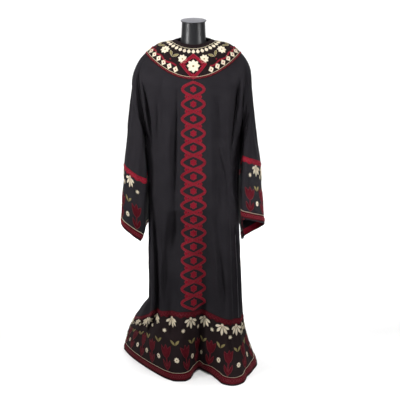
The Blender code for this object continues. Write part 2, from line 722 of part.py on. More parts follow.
def main():
    clear_scene()
    collection = bpy.data.collections.new("costume_robe")
    bpy.context.scene.collection.children.link(collection)
    crepe = make_material("black_crepe", (0.013, 0.011, 0.013), 0.78)
    decorated = make_material("decorated_crepe", (0.045, 0.008, 0.010), 0.72)
    gloss = make_material("black_gloss", (0.010, 0.010, 0.012), 0.16)
    grey = make_material("cap_grey", (0.23, 0.27, 0.30), 0.42)
    steel = make_material("dark_steel", (0.05, 0.05, 0.055), 0.35, 0.8)

    panels = robe_panels()
    offsets = shared_offsets(panels)
    for name, grid in panels.items():
        banded = name.startswith(("yoke", "hem", "cuff"))
        material = decorated if banded else crepe
        cloth_wall(name, grid, offsets, material, collection, closed=name == "yoke")

    dress_form(gloss, collection)
    cap = cylinder("form_cap", CAP_RADIUS, 0.0, CAP_THICKNESS, 0.0, grey, collection, bevel=0.001)
    cap.location.z = NECK_TOP + FORM_GAP + CAP_THICKNESS / 2
    cap.rotation_euler.x = math.atan(NECK_TILT)
    cylinder("form_base", BASE_RADIUS, 0.0, BASE_THICKNESS, POLE_Y, steel, collection, 48, BASE_BEVEL)
    pole_bottom = BASE_THICKNESS + FORM_GAP
    pole_top = TORSO[-1].height - FORM_GAP
    cylinder("form_pole", POLE_RADIUS, pole_bottom, pole_top, POLE_Y, steel, collection, 24)


main()
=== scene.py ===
"""Costume robe with a round yoke, wide hanging sleeves and bordered bands, on a limbless form.

Metres, +Z up, the front of the robe facing -Y. Each cloth piece is a fine wall through the
same sections as its solid. Slight ripples move it along its normals, and creases move it
straight in or out as seen from one side. The ornament is cut as flat outlines and laid on the
cloth by lengths measured along it.
"""
import math
from collections import namedtuple

import bpy
import numpy as np
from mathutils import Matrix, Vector
from mathutils.geometry import delaunay_2d_cdt


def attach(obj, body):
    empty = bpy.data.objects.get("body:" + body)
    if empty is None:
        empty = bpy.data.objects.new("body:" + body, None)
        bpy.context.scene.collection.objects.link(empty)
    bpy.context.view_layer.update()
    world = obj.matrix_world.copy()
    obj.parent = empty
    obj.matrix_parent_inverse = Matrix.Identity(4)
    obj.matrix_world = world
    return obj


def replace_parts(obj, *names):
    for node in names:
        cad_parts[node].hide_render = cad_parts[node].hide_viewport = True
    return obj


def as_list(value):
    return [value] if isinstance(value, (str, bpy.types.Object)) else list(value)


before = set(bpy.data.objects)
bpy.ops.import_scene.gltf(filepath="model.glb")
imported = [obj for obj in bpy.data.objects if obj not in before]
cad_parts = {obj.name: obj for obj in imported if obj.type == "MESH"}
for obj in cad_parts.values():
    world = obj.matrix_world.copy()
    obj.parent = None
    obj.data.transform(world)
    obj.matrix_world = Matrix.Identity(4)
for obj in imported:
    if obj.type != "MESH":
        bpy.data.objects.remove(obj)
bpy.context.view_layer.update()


# Cloth and seams
CLOTH = 0.002
MITER_LIMIT = 1.9
SAME_POINT_DIGITS = 6
SHARP_EDGE = math.radians(40)

# Small steps and limits that keep slopes, joints and cut shapes sound
LEAST_COSINE = 0.01
NUDGE = 0.01
JUST_OVER_ONE = 1.000001
TINY = 1e-12
SAME_SPOT = 1e-7
LEAST_AREA = 1e-11

# Levels of the robe
CHEST = 1.30
ARMPIT = 1.08
BELOW_ARMPIT = 1.063
THIGH = 0.60
FLARE_TOP = 0.31

# Angles round the neck at which the armhole seams leave the yoke's edge
FRONT_SEAM_ANGLE = math.radians(70)
BACK_SEAM_ANGLE = math.radians(110)
BODY_SQUARENESS = 2.9

# How far a shoulder's curve runs on along the yoke's slope, as a share of its length
SHOULDER_PULL = 0.36
SLOPE_FROM = 0.9

# How early the skirt leaves the body's line on the left, and how late on the right
LEFT_FLARE = 1.45
RIGHT_FLARE = 2.3


def thousandths(kind, rows):
    """Rows of a table that is written in whole thousandths."""
    return tuple(kind(*(value / 1000 for value in row)) for row in rows)


# A ring round the neck: half widths, depths to front and back, and heights
Ring = namedtuple("Ring", "half front back side_height front_height back_height")
NECKLINE = Ring(0.097, 0.086, 0.076, 1.503, 1.474, 1.508)
YOKE_EDGE = Ring(0.215, 0.136, 0.128, 1.447, 1.338, 1.362)

# The yoke's bulge over a straight line, and its shares to the side, to the front, and upward
# at the front
YOKE_BULGE = 0.012
BULGE_SIDEWAYS = 0.45
BULGE_FORWARD = 0.60
BULGE_UP_IN_FRONT = 0.35

# Body of the robe at each height, from its middle
Body = namedtuple("Body", "height left right front back")
BODY = thousandths(Body, (
    (1300, 240, 226, 146, 138),
    (1250, 231, 220, 152, 143),
    (1190, 219, 216, 157, 146),
    (1130, 212, 215, 160, 148),
    (1080, 210, 215, 163, 150),
    (990, 214, 209, 166, 152),
    (900, 209, 205, 169, 155),
    (830, 208, 205, 171, 157),
    (720, 209, 208, 175, 162),
    (600, 208, 213, 178, 166),
    (400, 208, 222, 188, 180),
    (250, 211, 227, 198, 190),
    (0, 212, 230, 205, 200),
))

# How far the armhole seam lies to the front or the back of the side
Armhole = namedtuple("Armhole", "height depth")
ARMHOLE = thousandths(Armhole, (
    (1300, 86),
    (1250, 88),
    (1190, 80),
    (1130, 52),
    (1080, 0),
))

# Hanging sleeve at each height: its outer reach, its front and back folds, and its inner face
Sleeve = namedtuple("Sleeve", "height outer front_x front_y back_x back_y inner")
SLEEVE_LEFT = thousandths(Sleeve, (
    (1300, 277, 246, 93, 246, 91, 251),
    (1190, 290, 230, 114, 228, 108, 238),
    (1080, 302, 219, 130, 208, 124, 225),
    (960, 314, 213, 140, 207, 134, 217),
    (870, 321, 214, 143, 206, 138, 215),
    (780, 330, 221, 138, 207, 136, 217),
    (680, 335, 218, 124, 217, 126, 224),
    (580, 336, 258, 100, 248, 112, 248),
))
SLEEVE_RIGHT = thousandths(Sleeve, (
    (1300, 262, 238, 93, 236, 91, 240),
    (1190, 273, 236, 118, 216, 108, 232),
    (1080, 285, 232, 138, 200, 124, 226),
    (960, 303, 223, 146, 198, 134, 218),
    (870, 310, 220, 146, 204, 138, 216),
    (780, 319, 219, 138, 208, 138, 217),
    (680, 327, 226, 116, 217, 130, 222),
    (580, 334, 244, 96, 230, 116, 236),
))

# The hanging sleeve's section from its seam: shares of the way from its inner face to its fold,
# then of the way from the fold to the outer reach
Turn = namedtuple("Turn", "across deep")
INNER_TURNS = (Turn(0.0, 0.0), Turn(0.0, 0.10), Turn(0.0, 0.42), Turn(0.40, 0.74))
OUTER_TURNS = (Turn(0.0, 1.0), Turn(0.42, 0.96), Turn(0.85, 0.58))

# At the chest the sleeve is an arc that turns this far from its outermost line to each seam
ARC_TURN = math.radians(110)
ARC_SIDE = math.radians(90)

# Heights of the cuff's seam and of its open end, at four places round the sleeve
Cuff = namedtuple("Cuff", "inner front outer back")
CuffPlace = namedtuple("CuffPlace", "share height")
CUFF_SEAM = {"left": Cuff(0.905, 0.905, 0.962, 0.930), "right": Cuff(0.950, 1.008, 0.962, 0.905)}
CUFF_END = {"left": Cuff(0.600, 0.606, 0.676, 0.626), "right": Cuff(0.632, 0.722, 0.664, 0.572)}

# Hem on the floor, its lift at the deep fold, and the height of the band's seam above it
Hem = namedtuple("Hem", "across x y lift seam")
HEM_FRONT = thousandths(Hem, (
    (-1000, -345, 160, 0, 195),
    (-860, -312, 74, 0, 235),
    (-720, -247, -54, 0, 272),
    (-560, -180, -160, 0, 296),
    (-400, -116, -240, 0, 300),
    (-280, -80, -264, 0, 300),
    (-150, -41, -262, 0, 303),
    (-60, -14, -232, 0, 307),
    (0, 0, -182, 4, 305),
    (70, 18, -170, 8, 300),
    (160, 52, -172, 8, 290),
    (230, 76, -190, 4, 282),
    (310, 103, -238, 0, 272),
    (390, 133, -298, 0, 266),
    (500, 174, -316, 0, 262),
    (610, 218, -286, 0, 258),
    (720, 246, -204, 0, 254),
    (840, 277, -120, 0, 250),
    (930, 298, -45, 0, 246),
    (1000, 298, 30, 0, 242),
))
HEM_BACK = thousandths(Hem, (
    (-1000, 298, 30, 0, 242),
    (-860, 286, 112, 0, 242),
    (-700, 266, 200, 0, 250),
    (-540, 212, 250, 0, 258),
    (-380, 152, 238, 0, 264),
    (-200, 82, 288, 0, 268),
    (-20, 6, 262, 0, 270),
    (180, -72, 292, 0, 266),
    (360, -152, 262, 0, 258),
    (540, -222, 300, 0, 246),
    (720, -296, 286, 0, 228),
    (870, -344, 232, 0, 210),
    (1000, -345, 160, 0, 195),
))

# Soft folds: place across the panel, half width, outward depth, and the heights
# at which each fold begins, is deepest, and ends
Fold = namedtuple("Fold", "across width depth top middle bottom")
FRONT_FOLDS = thousandths(Fold, (
    (-800, 150, -32, 1000, 340, 0),
    (-600, 160, 12, 1100, 400, 50),
    (-360, 130, -10, 1000, 360, 50),
    (-140, 140, 10, 900, 320, 50),
    (130, 170, -30, 620, 260, 0),
    (400, 120, 12, 950, 340, 50),
    (560, 100, -12, 1150, 450, 50),
    (720, 100, 10, 1050, 450, 50),
    (860, 100, -14, 800, 340, 50),
))
BACK_FOLDS = thousandths(Fold, (
    (-820, 140, -18, 1000, 400, 20),
    (-550, 180, 16, 1120, 400, 40),
    (-280, 150, -18, 1180, 420, 20),
    (0, 180, 16, 1200, 400, 40),
    (280, 150, -20, 1150, 420, 20),
    (560, 180, 14, 1100, 380, 40),
    (820, 140, -18, 1000, 400, 20),
))

# Dress form: height, half width and depth of each neck ring, then
# the torso from the shoulders down
NECK_TILT = math.tan(math.radians(11))
NECK_TOP = 1.588
NECK_LEVELS = (
    (1.588, 0.0520, 0.0520),
    (1.560, 0.0530, 0.0532),
    (1.530, 0.0545, 0.0550),
    (1.500, 0.0575, 0.0580),
    (1.478, 0.0610, 0.0615),
)
NECK_FOOT = 1.514
NECK_CLEARANCE = 0.022
SHOULDER_CLEARANCE = 0.0008
CHEST_CLEARANCE = 0.006
SHOULDER_STEPS = (0.0, 0.25, 0.5, 0.75, 0.92)
SHOULDER_BEGINS = 0.60
SHOULDER_FULL = 0.95
TORSO_TOP_DROP = 0.012
Torso = namedtuple("Torso", "height half front back")
TORSO = thousandths(Torso, (
    (1385, 203, 112, 108),
    (1330, 196, 124, 116),
    (1260, 180, 130, 118),
    (1180, 163, 126, 112),
    (1080, 143, 110, 98),
    (980, 140, 104, 96),
    (880, 156, 112, 112),
    (800, 160, 114, 116),
    (765, 150, 106, 108),
))
TORSO_SQUARENESS = 2.2
FORM_COLUMNS = 112
CAP_RADIUS = 0.0575
CAP_THICKNESS = 0.0045
CAP_COLUMNS = 96
FORM_GAP = 0.0003

# Fineness of the visible cloth, and the levels at which its columns are evened out
CELL = 0.0085
CROWN_CELLS = 11
UNDERARM_CELLS = 3
HEM_CELLS = 36
CUFF_CELLS = 38
YOKE_CELLS = 22
BODY_CELLS = 196
SLEEVE_CELLS = 136
BODY_SAMPLES = 2001
SLEEVE_SAMPLES = 1401
COLUMN_LEVELS = (1.15, 0.60, 0.24)
SLEEVE_COLUMN_LEVELS = (1.22, 0.96, 0.80)
PATH_POINTS = 28
PATH_STEPS = 16
FORM_STEPS = 4

# Plain edge of the yoke that stands up round the neck
NECK_EDGE_ROWS = 3
NECK_EDGE_HEIGHT = 0.013
NECK_EDGE_LEAN = 0.005
NECK_SIDE_LEAN = 0.013
NECK_SIDE_DROP = 0.0065

# A crease takes hold where the cloth faces its way, from one share of the normal and fully a span
# further on. It fades at its ends and wavers along itself
FACES_FROM = 0.15
FACES_SPAN = 0.35
CREASE_REACH = 3
CREASE_FADE = 0.6
Waver = namedtuple("Waver", "size rate start")
DEPTH_WAVER = Waver(0.28, 9.0, 1.7)
WIDTH_WAVER = Waver(0.35, 5.0, 2.3)
BEND_RATE = 3.1
BEND_SIZE = 1.3
YOKE_RIPPLE = 0.25

# Ornament: thickness, how deep its underside sits in the cloth, how much lower its edge is, how
# many columns a closed piece repeats past its seam, and the least gap inside a cut shape's edge
TRIM = 0.0011
SINK = 0.0005
EDGE_DROP = 0.35
WRAP = 60
GRID_GAP = 0.45
# Cords: sides, how far out the centre lies as a share of the radius, and lift over the cloth
CORD_SIDES = 5
CORD_CENTRE = 0.6
CORD_LIFT = 0.0006
MEDALLION_CORD_LIFT = 0.0012
# Radii of the cords
CORD_HAIR = 0.0005
CORD_THIN = 0.0006
CORD_FINE = 0.0007
CORD_PLAIN = 0.0008
CORD_FIRM = 0.0009
CORD_STOUT = 0.0010
CORD_RING = 0.0011
CORD_SEAM = 0.0012
# A band texture's length for one wave at scale 1
WAVE_TURN = 0.31416
THREAD_TWIST = 0.0016
LINING_WEAVE = 0.0006
LINING_SHEEN = 0.03

# Flat shapes: points of a petal's side and of a disc, and a star's points and inner reach
PETAL_POINTS = 11
PETAL_FULLNESS = 0.85
DISC_POINTS = 12
STAR_POINTS = 8
STAR_INNER = 0.46
TULIP_HEIGHT = 0.115
PALMETTE_HEIGHT = 0.055

# Bands of hem and cuffs: borders from an edge, wave heights and lengths, and heights above the
# lower edge
BORDER_LINES = 5
Border = namedtuple("Border", "low high wave period", defaults=(0.0, 1.0))
TOP_BORDER = Border(0.003, 0.027, 0.0030, 0.036)
EDGE_BORDER = Border(0.008, 0.036)
FACING_BORDER = Border(0.005, 0.032)
TAPE_BORDER = Border(0.074, 0.094, 0.002, 0.030)
PALE_LINE = 0.0385
TOP_WAVE_DEPTH = 0.015
EDGE_WAVE_HEIGHT = 0.022
TOP_LINE_WAVE = (0.0055, 0.018)
EDGE_LINE_WAVE = (0.0075, 0.020)
FIELD_TOP = 0.027
FIELD_BOTTOM = 0.042
MOTIF_FOOT = 0.044
PALMETTE_DEPTH = 0.034
TULIP_SPACING = 0.098
TULIP_MOST = 0.118
TULIP_SHARE = 0.66
PALMETTE_MOST = 0.047
PALMETTE_FIELD_SHARE = 0.27
PALMETTE_ROOM_SHARE = 0.66
STAR_ROOM = 0.034
FLOWER_SHARE = 0.20
LEAF_SHARE = 0.44
BAND_LEAF_TURN = 0.5
YOKE_LEAF_TURN = 0.55
# A cuff's column faces the body from this share of its normal
INWARD = 0.6

# Rings round the yoke, each at a share of its depth and a length outward from there
RING_POINTS = 520
STRIP_LINES = 4
Place = namedtuple("Place", "share out")
WINE_STRIP = (Place(1, -0.0105), Place(1, -0.0025))
WINE_RING = Place(1, -0.0065)
WINE_WAVES = (0.0018, 90)
CRIMSON_STRIP = (Place(0.660, 0), Place(0.660, 0.0075))
CRIMSON_RING = Place(0.660, 0.00375)
CRIMSON_WAVES = (0.0035, 26)
INNER_RING = Place(0, 0.0055)
OUTER_RING = Place(1, -0.0125)
# Motifs round the yoke: share of its depth at which they are spaced, their number, their start
DROPS = (0.12, 34)
FLOWERS = (0.42, 18)
LOZENGES = (0.82, 34, 0.5)
DROP_DEPTH = 0.0090
LOZENGE_HEIGHT = 0.0285
# The row of the flowers as a share of the yoke's rows, and how many rows further out others lie
FLOWER_ROW_SHARE = 0.43
LEAF_ROWS = 2.0
BUD_ROWS = 3.5
LOZENGE_BUD = 0.8
MEDALLION_BUD = 1.5
MEDALLION_BASE = 0.0004
MEDALLION_BUD_BASE = 0.0016
# Columns that the crimson ring leaves free on each side of the medallion
MEDALLION_GAP = 27.0
MEDALLION_SHARE = 0.595
PLAIN_FRONT_HALF = 0.030
PLAIN_FRONT_EDGE = 0.060

# Front column, and the side seam of the front, whose top is found along a guide column
COLUMN_START = 0.010
COLUMN_STOP = 0.006
COLUMN_EYES = 16
COLUMN_REACH = (0.047, 0.058)
COLUMN_BAND = 0.0100
WEAVE_STEP = 0.006
WAIST_AWAY = 0.036
SIDE_SEAM = 0.190
SIDE_SEAM_TOP = 0.640
SIDE_SEAM_GUIDE = -12
SIDE_SEAM_POINTS = 120

# Studio: the floor's half width, its ends, height and bend behind, and the camera
FLOOR_GAP = 0.0004
FLOOR_DROP = 0.0003
FLOOR_HALF = 9.0
FLOOR_FRONT = -7.0
FLOOR_BACK = 7.0
FLOOR_RISE = 5.0
FLOOR_BEND = 1.6
BEND_STEPS = 12
WORLD_STRENGTH = 0.08
CAMERA_PLACE = (0.029, -4.2, 1.6)
CAMERA_PITCH = math.radians(11.06)
CAMERA_LENS = 83.6
CAMERA_SENSOR = 36.0

# The cut of each piece, measured on the middle surface of its solid: the rectangle that holds
# it laid flat, its area, how it hangs and what it rests on
Cut = namedtuple("Cut", "width length area held rests_on")
CUTS = {
    "yoke": Cut(0.55, 0.43, 0.134, "draped", ("form_torso",)),
    "front": Cut(0.84, 1.31, 0.687, "hung", ("yoke",)),
    "back": Cut(0.70, 1.32, 0.693, "hung", ("yoke",)),
    "hem_front": Cut(1.31, 0.31, 0.272, "hung", ("front",)),
    "hem_back": Cut(0.95, 0.29, 0.216, "hung", ("back",)),
    "sleeve_left": Cut(0.68, 0.58, 0.203, "hung", ("yoke", "front", "back")),
    "sleeve_right": Cut(0.73, 0.57, 0.188, "hung", ("yoke", "front", "back")),
    "cuff_left": Cut(0.70, 0.31, 0.193, "hung", ("sleeve_left",)),
    "cuff_right": Cut(0.76, 0.32, 0.204, "hung", ("sleeve_right",)),
}


def smooth(rows, name, at):
    """Read one column of a table along its first column, by a curve that never overshoots."""
    rows = sorted(rows)
    keys = np.array([row[0] for row in rows])
    values = np.array([getattr(row, name) for row in rows])
    step = np.diff(keys)
    slope = np.diff(values) / step
    tangent = np.zeros(len(keys))
    tangent[0] = slope[0]
    tangent[-1] = slope[-1]
    for k in range(1, len(keys) - 1):
        if slope[k - 1] * slope[k] > 0:
            tangent[k] = 2 * slope[k - 1] * slope[k] / (slope[k - 1] + slope[k])
    at = np.clip(at, keys[0], keys[-1])
    cell = np.clip(np.searchsorted(keys, at, side="right") - 1, 0, len(step) - 1)
    t = (at - keys[cell]) / step[cell]
    rise = values[cell + 1] - values[cell]
    start = tangent[cell] * step[cell]
    end = tangent[cell + 1] * step[cell]
    curve = start * t + (3 * rise - 2 * start - end) * t ** 2
    return values[cell] + curve + (start + end - 2 * rise) * t ** 3

def spline(before, start, end, after, t):
    """A smooth curve from start to end that heeds the places before and after them."""
    into = (end - before) / 2
    out = (after - start) / 2
    rise = end - start
    curve = start + into * t + (3 * rise - 2 * into - out) * t ** 2
    return curve + (into + out - 2 * rise) * t ** 3

def ease(t):
    t = np.clip(t, 0.0, 1.0)
    return t * t * (3 - 2 * t)


def stack(x, y, z):
    return np.stack(np.broadcast_arrays(x, y, z), axis=-1)


def ring_point(ring, angle):
    """A point of a ring round the neck, at an angle counted from the front towards +X."""
    lean = np.cos(angle) ** 2
    ahead = np.cos(angle) > 0
    depth = np.where(ahead, ring.front, ring.back)
    height = np.where(ahead, ring.front_height, ring.back_height)
    return stack(
        ring.half * np.sin(angle),
        -depth * np.cos(angle),
        ring.side_height + (height - ring.side_height) * lean,
    )


def yoke_point(angle, out):
    """The yoke from the neckline (out 0) to its outer edge (out 1), rounded over the shoulders."""
    inner = ring_point(NECKLINE, angle)
    outer = ring_point(YOKE_EDGE, angle)
    lift = YOKE_BULGE * np.sin(np.pi * np.asarray(out))
    side = np.sin(angle)
    front = -np.cos(angle)
    upward = BULGE_UP_IN_FRONT + (1 - BULGE_UP_IN_FRONT) * side ** 2
    bulge = stack(lift * side * BULGE_SIDEWAYS, lift * front * BULGE_FORWARD, lift * upward)
    return inner + (outer - inner) * np.asarray(out)[..., None] + bulge


def unit(vectors):
    return vectors / np.linalg.norm(vectors, axis=-1, keepdims=True)


def body_across(u):
    """How far across and how far forward a column lies in a body section, each from 0 to 1."""
    angle = u * np.pi / 2
    power = 2 / BODY_SQUARENESS
    across = np.sign(np.sin(angle)) * np.abs(np.sin(angle)) ** power
    ahead = np.abs(np.cos(angle)) ** power
    return across, ahead


def fold_depth(folds, u, z):
    depth = np.zeros(np.broadcast(u, z).shape)
    for fold in folds:
        shape = np.cos(np.clip((u - fold.across) / fold.width, -1, 1) * np.pi / 2) ** 2
        grown = ease((fold.top - z) / (fold.top - fold.middle))
        left = ease((z - fold.bottom) / (fold.middle - fold.bottom))
        depth = depth + fold.depth * shape * grown * left
    return depth


def body_point(u, z, face):
    """Front or back of the body. The front runs from left to right, and the back on from there."""
    is_front = face == "front"
    hem = HEM_FRONT if is_front else HEM_BACK
    folds = FRONT_FOLDS if is_front else BACK_FOLDS
    toward = -1.0 if is_front else 1.0
    across, ahead = body_across(u)
    left = smooth(BODY, "left", z)
    right = smooth(BODY, "right", z)
    depth = smooth(BODY, "front" if is_front else "back", z)
    seam = np.where(z < ARMPIT, 0.0, smooth(ARMHOLE, "depth", z))
    across = across if is_front else -across
    angle = u * np.pi / 2
    push = fold_depth(folds, u, z)
    x = np.where(across < 0, left, right) * across + push * np.sin(angle) * -toward
    y = toward * (seam + (depth - seam) * ahead + push * np.cos(angle))
    floor_x = smooth(hem, "x", u)
    floor_y = smooth(hem, "y", u)
    lift = smooth(hem, "lift", u)
    drop = np.clip((FLARE_TOP - z) / (FLARE_TOP - lift), 0, 1)
    leftness = np.clip(0.5 - 0.5 * across, 0, 1)
    spread = leftness * (1 - (1 - drop) ** LEFT_FLARE) + (1 - leftness) * drop ** RIGHT_FLARE
    return stack(x + (floor_x - x) * spread, y + (floor_y - y) * spread, z)


def sleeve_half(inner, fold_x, fold_y, outer, seam):
    """Points of a hanging sleeve from its seam to its fold, and on towards its outer reach."""
    points = [
        (inner + (fold_x - inner) * turn.across, seam + (fold_y - seam) * turn.deep)
        for turn in INNER_TURNS
    ]
    return points + [
        (fold_x + (outer - fold_x) * turn.across, fold_y * turn.deep) for turn in OUTER_TURNS
    ]


def sleeve_controls(z, rows, half, seam):
    """Points that a sleeve's section runs through, from the front seam to the back seam."""
    outer = smooth(rows, "outer", z)
    front_y = smooth(rows, "front_y", z)
    back_y = smooth(rows, "back_y", z)
    inner = smooth(rows, "inner", z)
    front_half = sleeve_half(inner, smooth(rows, "front_x", z), front_y, outer, seam)
    back_half = sleeve_half(inner, smooth(rows, "back_x", z), back_y, outer, seam)
    hanging = [(x, -y) for x, y in front_half] + [(outer, np.zeros_like(z))] + back_half[::-1]
    tuck = -math.cos(ARC_TURN)
    middle = half + tuck / (1 + tuck) * (outer - half)
    last = len(hanging) - 1
    hung = ease((CHEST - z) / (CHEST - ARMPIT))
    above = z >= ARMPIT
    points = []
    for k, (hang_x, hang_y) in enumerate(hanging):
        turn = ARC_TURN * (2 * k / last - 1)
        reach = front_y if turn < 0 else back_y
        past = math.sqrt(max(abs(turn) - ARC_SIDE, 0.0) / (ARC_TURN - ARC_SIDE))
        open_x = middle + (outer - middle) * max(math.cos(turn), 0.0)
        open_y = reach * math.sin(np.clip(turn, -ARC_SIDE, ARC_SIDE))
        open_y = open_y + np.sign(-turn) * past * (reach - seam)
        x = open_x + (hang_x - open_x) * hung
        y = open_y + (hang_y - open_y) * hung
        if k in (0, last):
            sign = -1.0 if k == 0 else 1.0
            x = np.where(above, half, inner)
            y = np.where(above, sign * seam, 0.0)
        points.append(np.stack([x, y], axis=-1))
    return np.stack(points)


def sleeve_point(s, z, side):
    """A sleeve from its front edge (s 0) round the outside to its back edge (s 1), on one side."""
    rows = SLEEVE_LEFT if side == "left" else SLEEVE_RIGHT
    s, z = np.broadcast_arrays(s, z)
    half = smooth(BODY, side, z)
    seam = np.where(z < ARMPIT, 0.0, smooth(ARMHOLE, "depth", z))
    controls = sleeve_controls(z, rows, half, seam)
    last = len(controls) - 1
    cell = np.clip(np.floor(s * last).astype(int), 0, last - 1)
    t = (s * last - cell)[..., None]
    grid = np.indices(s.shape)
    corners = [controls[(np.clip(cell + k, 0, last), *grid)] for k in (-1, 0, 1, 2)]
    plan = spline(*corners, t)
    mirror = -1.0 if side == "left" else 1.0
    return stack(mirror * plan[..., 0], plan[..., 1], z)


def cuff_height(cuff, s):
    """Height of a line round the sleeve, given at its inner, front, outer and back places."""
    places = (
        CuffPlace(0.0, cuff.inner),
        CuffPlace(0.25, cuff.front),
        CuffPlace(0.5, cuff.outer),
        CuffPlace(0.75, cuff.back),
        CuffPlace(1.0, cuff.inner),
    )
    return smooth(places, "height", s)


def crown(angle, chest, t):
    """From the yoke's edge down to the chest line, leaving the yoke along its slope."""
    edge = yoke_point(angle, np.ones_like(angle))
    slope = unit(edge - yoke_point(angle, np.full_like(angle, SLOPE_FROM)))
    length = np.linalg.norm(chest - edge, axis=-1, keepdims=True)
    first = edge + slope * length * SHOULDER_PULL
    second = chest + np.array([0.0, 0.0, 1.0]) * length * SHOULDER_PULL
    return (
        edge * (1 - t) ** 3
        + first * 3 * t * (1 - t) ** 2
        + second * 3 * t ** 2 * (1 - t)
        + chest * t ** 3
    )


def front_angle(u):
    across, _ = body_across(u)
    return np.arcsin(np.sin(FRONT_SEAM_ANGLE) * across)


def back_angle(u):
    across, _ = body_across(u)
    return np.pi + np.arcsin(np.sin(BACK_SEAM_ANGLE) * across)


def sleeve_angle(s, side):
    if side == "right":
        return FRONT_SEAM_ANGLE + (BACK_SEAM_ANGLE - FRONT_SEAM_ANGLE) * s
    return -FRONT_SEAM_ANGLE - (BACK_SEAM_ANGLE - FRONT_SEAM_ANGLE) * s


def form_rings():
    """Rings of the dress form, from the top of the neck to its flat underside."""
    angle = np.arange(FORM_COLUMNS) * 2 * np.pi / FORM_COLUMNS
    rings = []
    for height, half, depth in NECK_LEVELS:
        tilt = NECK_TILT * ease((height - NECK_FOOT) / (NECK_TOP - NECK_FOOT))
        y = -depth * np.cos(angle)
        rings.append(stack(half * np.sin(angle), y, height + tilt * y))
    for out in SHOULDER_STEPS:
        here = yoke_point(angle, np.full_like(angle, out))
        ahead = yoke_point(angle, np.full_like(angle, out + NUDGE)) - here
        beside = yoke_point(angle + NUDGE, np.full_like(angle, out)) - here
        normal = unit(np.cross(ahead, beside))
        sideways = np.abs(np.sin(angle))[:, None]
        close = ease((sideways - SHOULDER_BEGINS) / (SHOULDER_FULL - SHOULDER_BEGINS))
        clearance = CHEST_CLEARANCE + (SHOULDER_CLEARANCE - CHEST_CLEARANCE) * close
        # Beside the neck the shell lies low, so that the neck rises out of a dark gap
        if out == SHOULDER_STEPS[0]:
            clearance = CHEST_CLEARANCE + (NECK_CLEARANCE - CHEST_CLEARANCE) * close
        rings.append(here - normal * (CLOTH / 2 + clearance))
    power = 2 / TORSO_SQUARENESS
    across = np.sign(np.sin(angle)) * np.abs(np.sin(angle)) ** power
    ahead = np.sign(np.cos(angle)) * np.abs(np.cos(angle)) ** power
    shoulder_edge = rings[-1][:, 2]
    for level in TORSO:
        depth = np.where(ahead > 0, level.front, level.back)
        lowered = shoulder_edge - TORSO_TOP_DROP - (TORSO[0].height - level.height) / 2
        height = np.minimum(level.height, lowered)
        height = np.maximum(height, TORSO[-1].height)
        rings.append(stack(level.half * across, -depth * ahead, height))
    return rings


def spread_columns(values, rows, count):
    """Columns at even lengths along the mean of some rows of points."""
    length = np.zeros(len(values))
    for points in rows:
        steps = np.linalg.norm(np.diff(points, axis=0), axis=1)
        length[1:] += np.cumsum(steps) / steps.sum()
    return np.interp(np.linspace(0, length[-1], count + 1), length, values)


def body_grid(u, face):
    """Rows of a front or back panel, from the yoke's edge to the seam of its hem band."""
    chest = body_point(u, np.full_like(u, CHEST), face)
    angle = front_angle(u) if face == "front" else back_angle(u)
    upper = [crown(angle, chest, t) for t in np.linspace(0, 1, CROWN_CELLS + 1)[:-1]]
    levels = np.linspace(CHEST, THIGH, round((CHEST - THIGH) / CELL) + 1)
    seam = smooth(HEM_FRONT if face == "front" else HEM_BACK, "seam", u)
    drop = np.linspace(0, 1, round((THIGH - seam.mean()) / CELL) + 1)[1:, None]
    above = np.repeat(levels[:, None], len(u), axis=1)
    heights = np.concatenate([above, THIGH + (seam - THIGH) * drop])
    return np.concatenate([np.stack(upper), body_point(u, heights, face)])


def hem_grid(u, face):
    table = HEM_FRONT if face == "front" else HEM_BACK
    seam = smooth(table, "seam", u)
    lift = smooth(table, "lift", u)
    drop = np.linspace(0, 1, HEM_CELLS + 1)[:, None]
    return body_point(u, seam + (lift - seam) * drop, face)


def sleeve_grid(s, side):
    """Rows of a sleeve. Under the arm they run straight from the body to the hanging tube."""
    chest = sleeve_point(s, np.full_like(s, CHEST), side)
    angle = sleeve_angle(s, side)
    upper = [crown(angle, chest, t) for t in np.linspace(0, 1, CROWN_CELLS + 1)[:-1]]
    levels = np.linspace(CHEST, ARMPIT, round((CHEST - ARMPIT) / CELL) + 1)[:, None]
    arm = sleeve_point(s, levels, side)
    below = sleeve_point(s, np.full_like(s, BELOW_ARMPIT), side)
    under = [arm[-1] + (below - arm[-1]) * t for t in np.linspace(0, 1, UNDERARM_CELLS + 1)[1:]]
    seam = cuff_height(CUFF_SEAM[side], s)
    drop = np.linspace(0, 1, round((BELOW_ARMPIT - seam.mean()) / CELL) + 1)[1:, None]
    lower = sleeve_point(s, BELOW_ARMPIT + (seam - BELOW_ARMPIT) * drop, side)
    return np.concatenate([np.stack(upper), arm, np.stack(under), lower])


def cuff_grid(s, side):
    top = cuff_height(CUFF_SEAM[side], s)
    end = cuff_height(CUFF_END[side], s)
    drop = np.linspace(0, 1, CUFF_CELLS + 1)[:, None]
    return sleeve_point(s, top + (end - top) * drop, side)


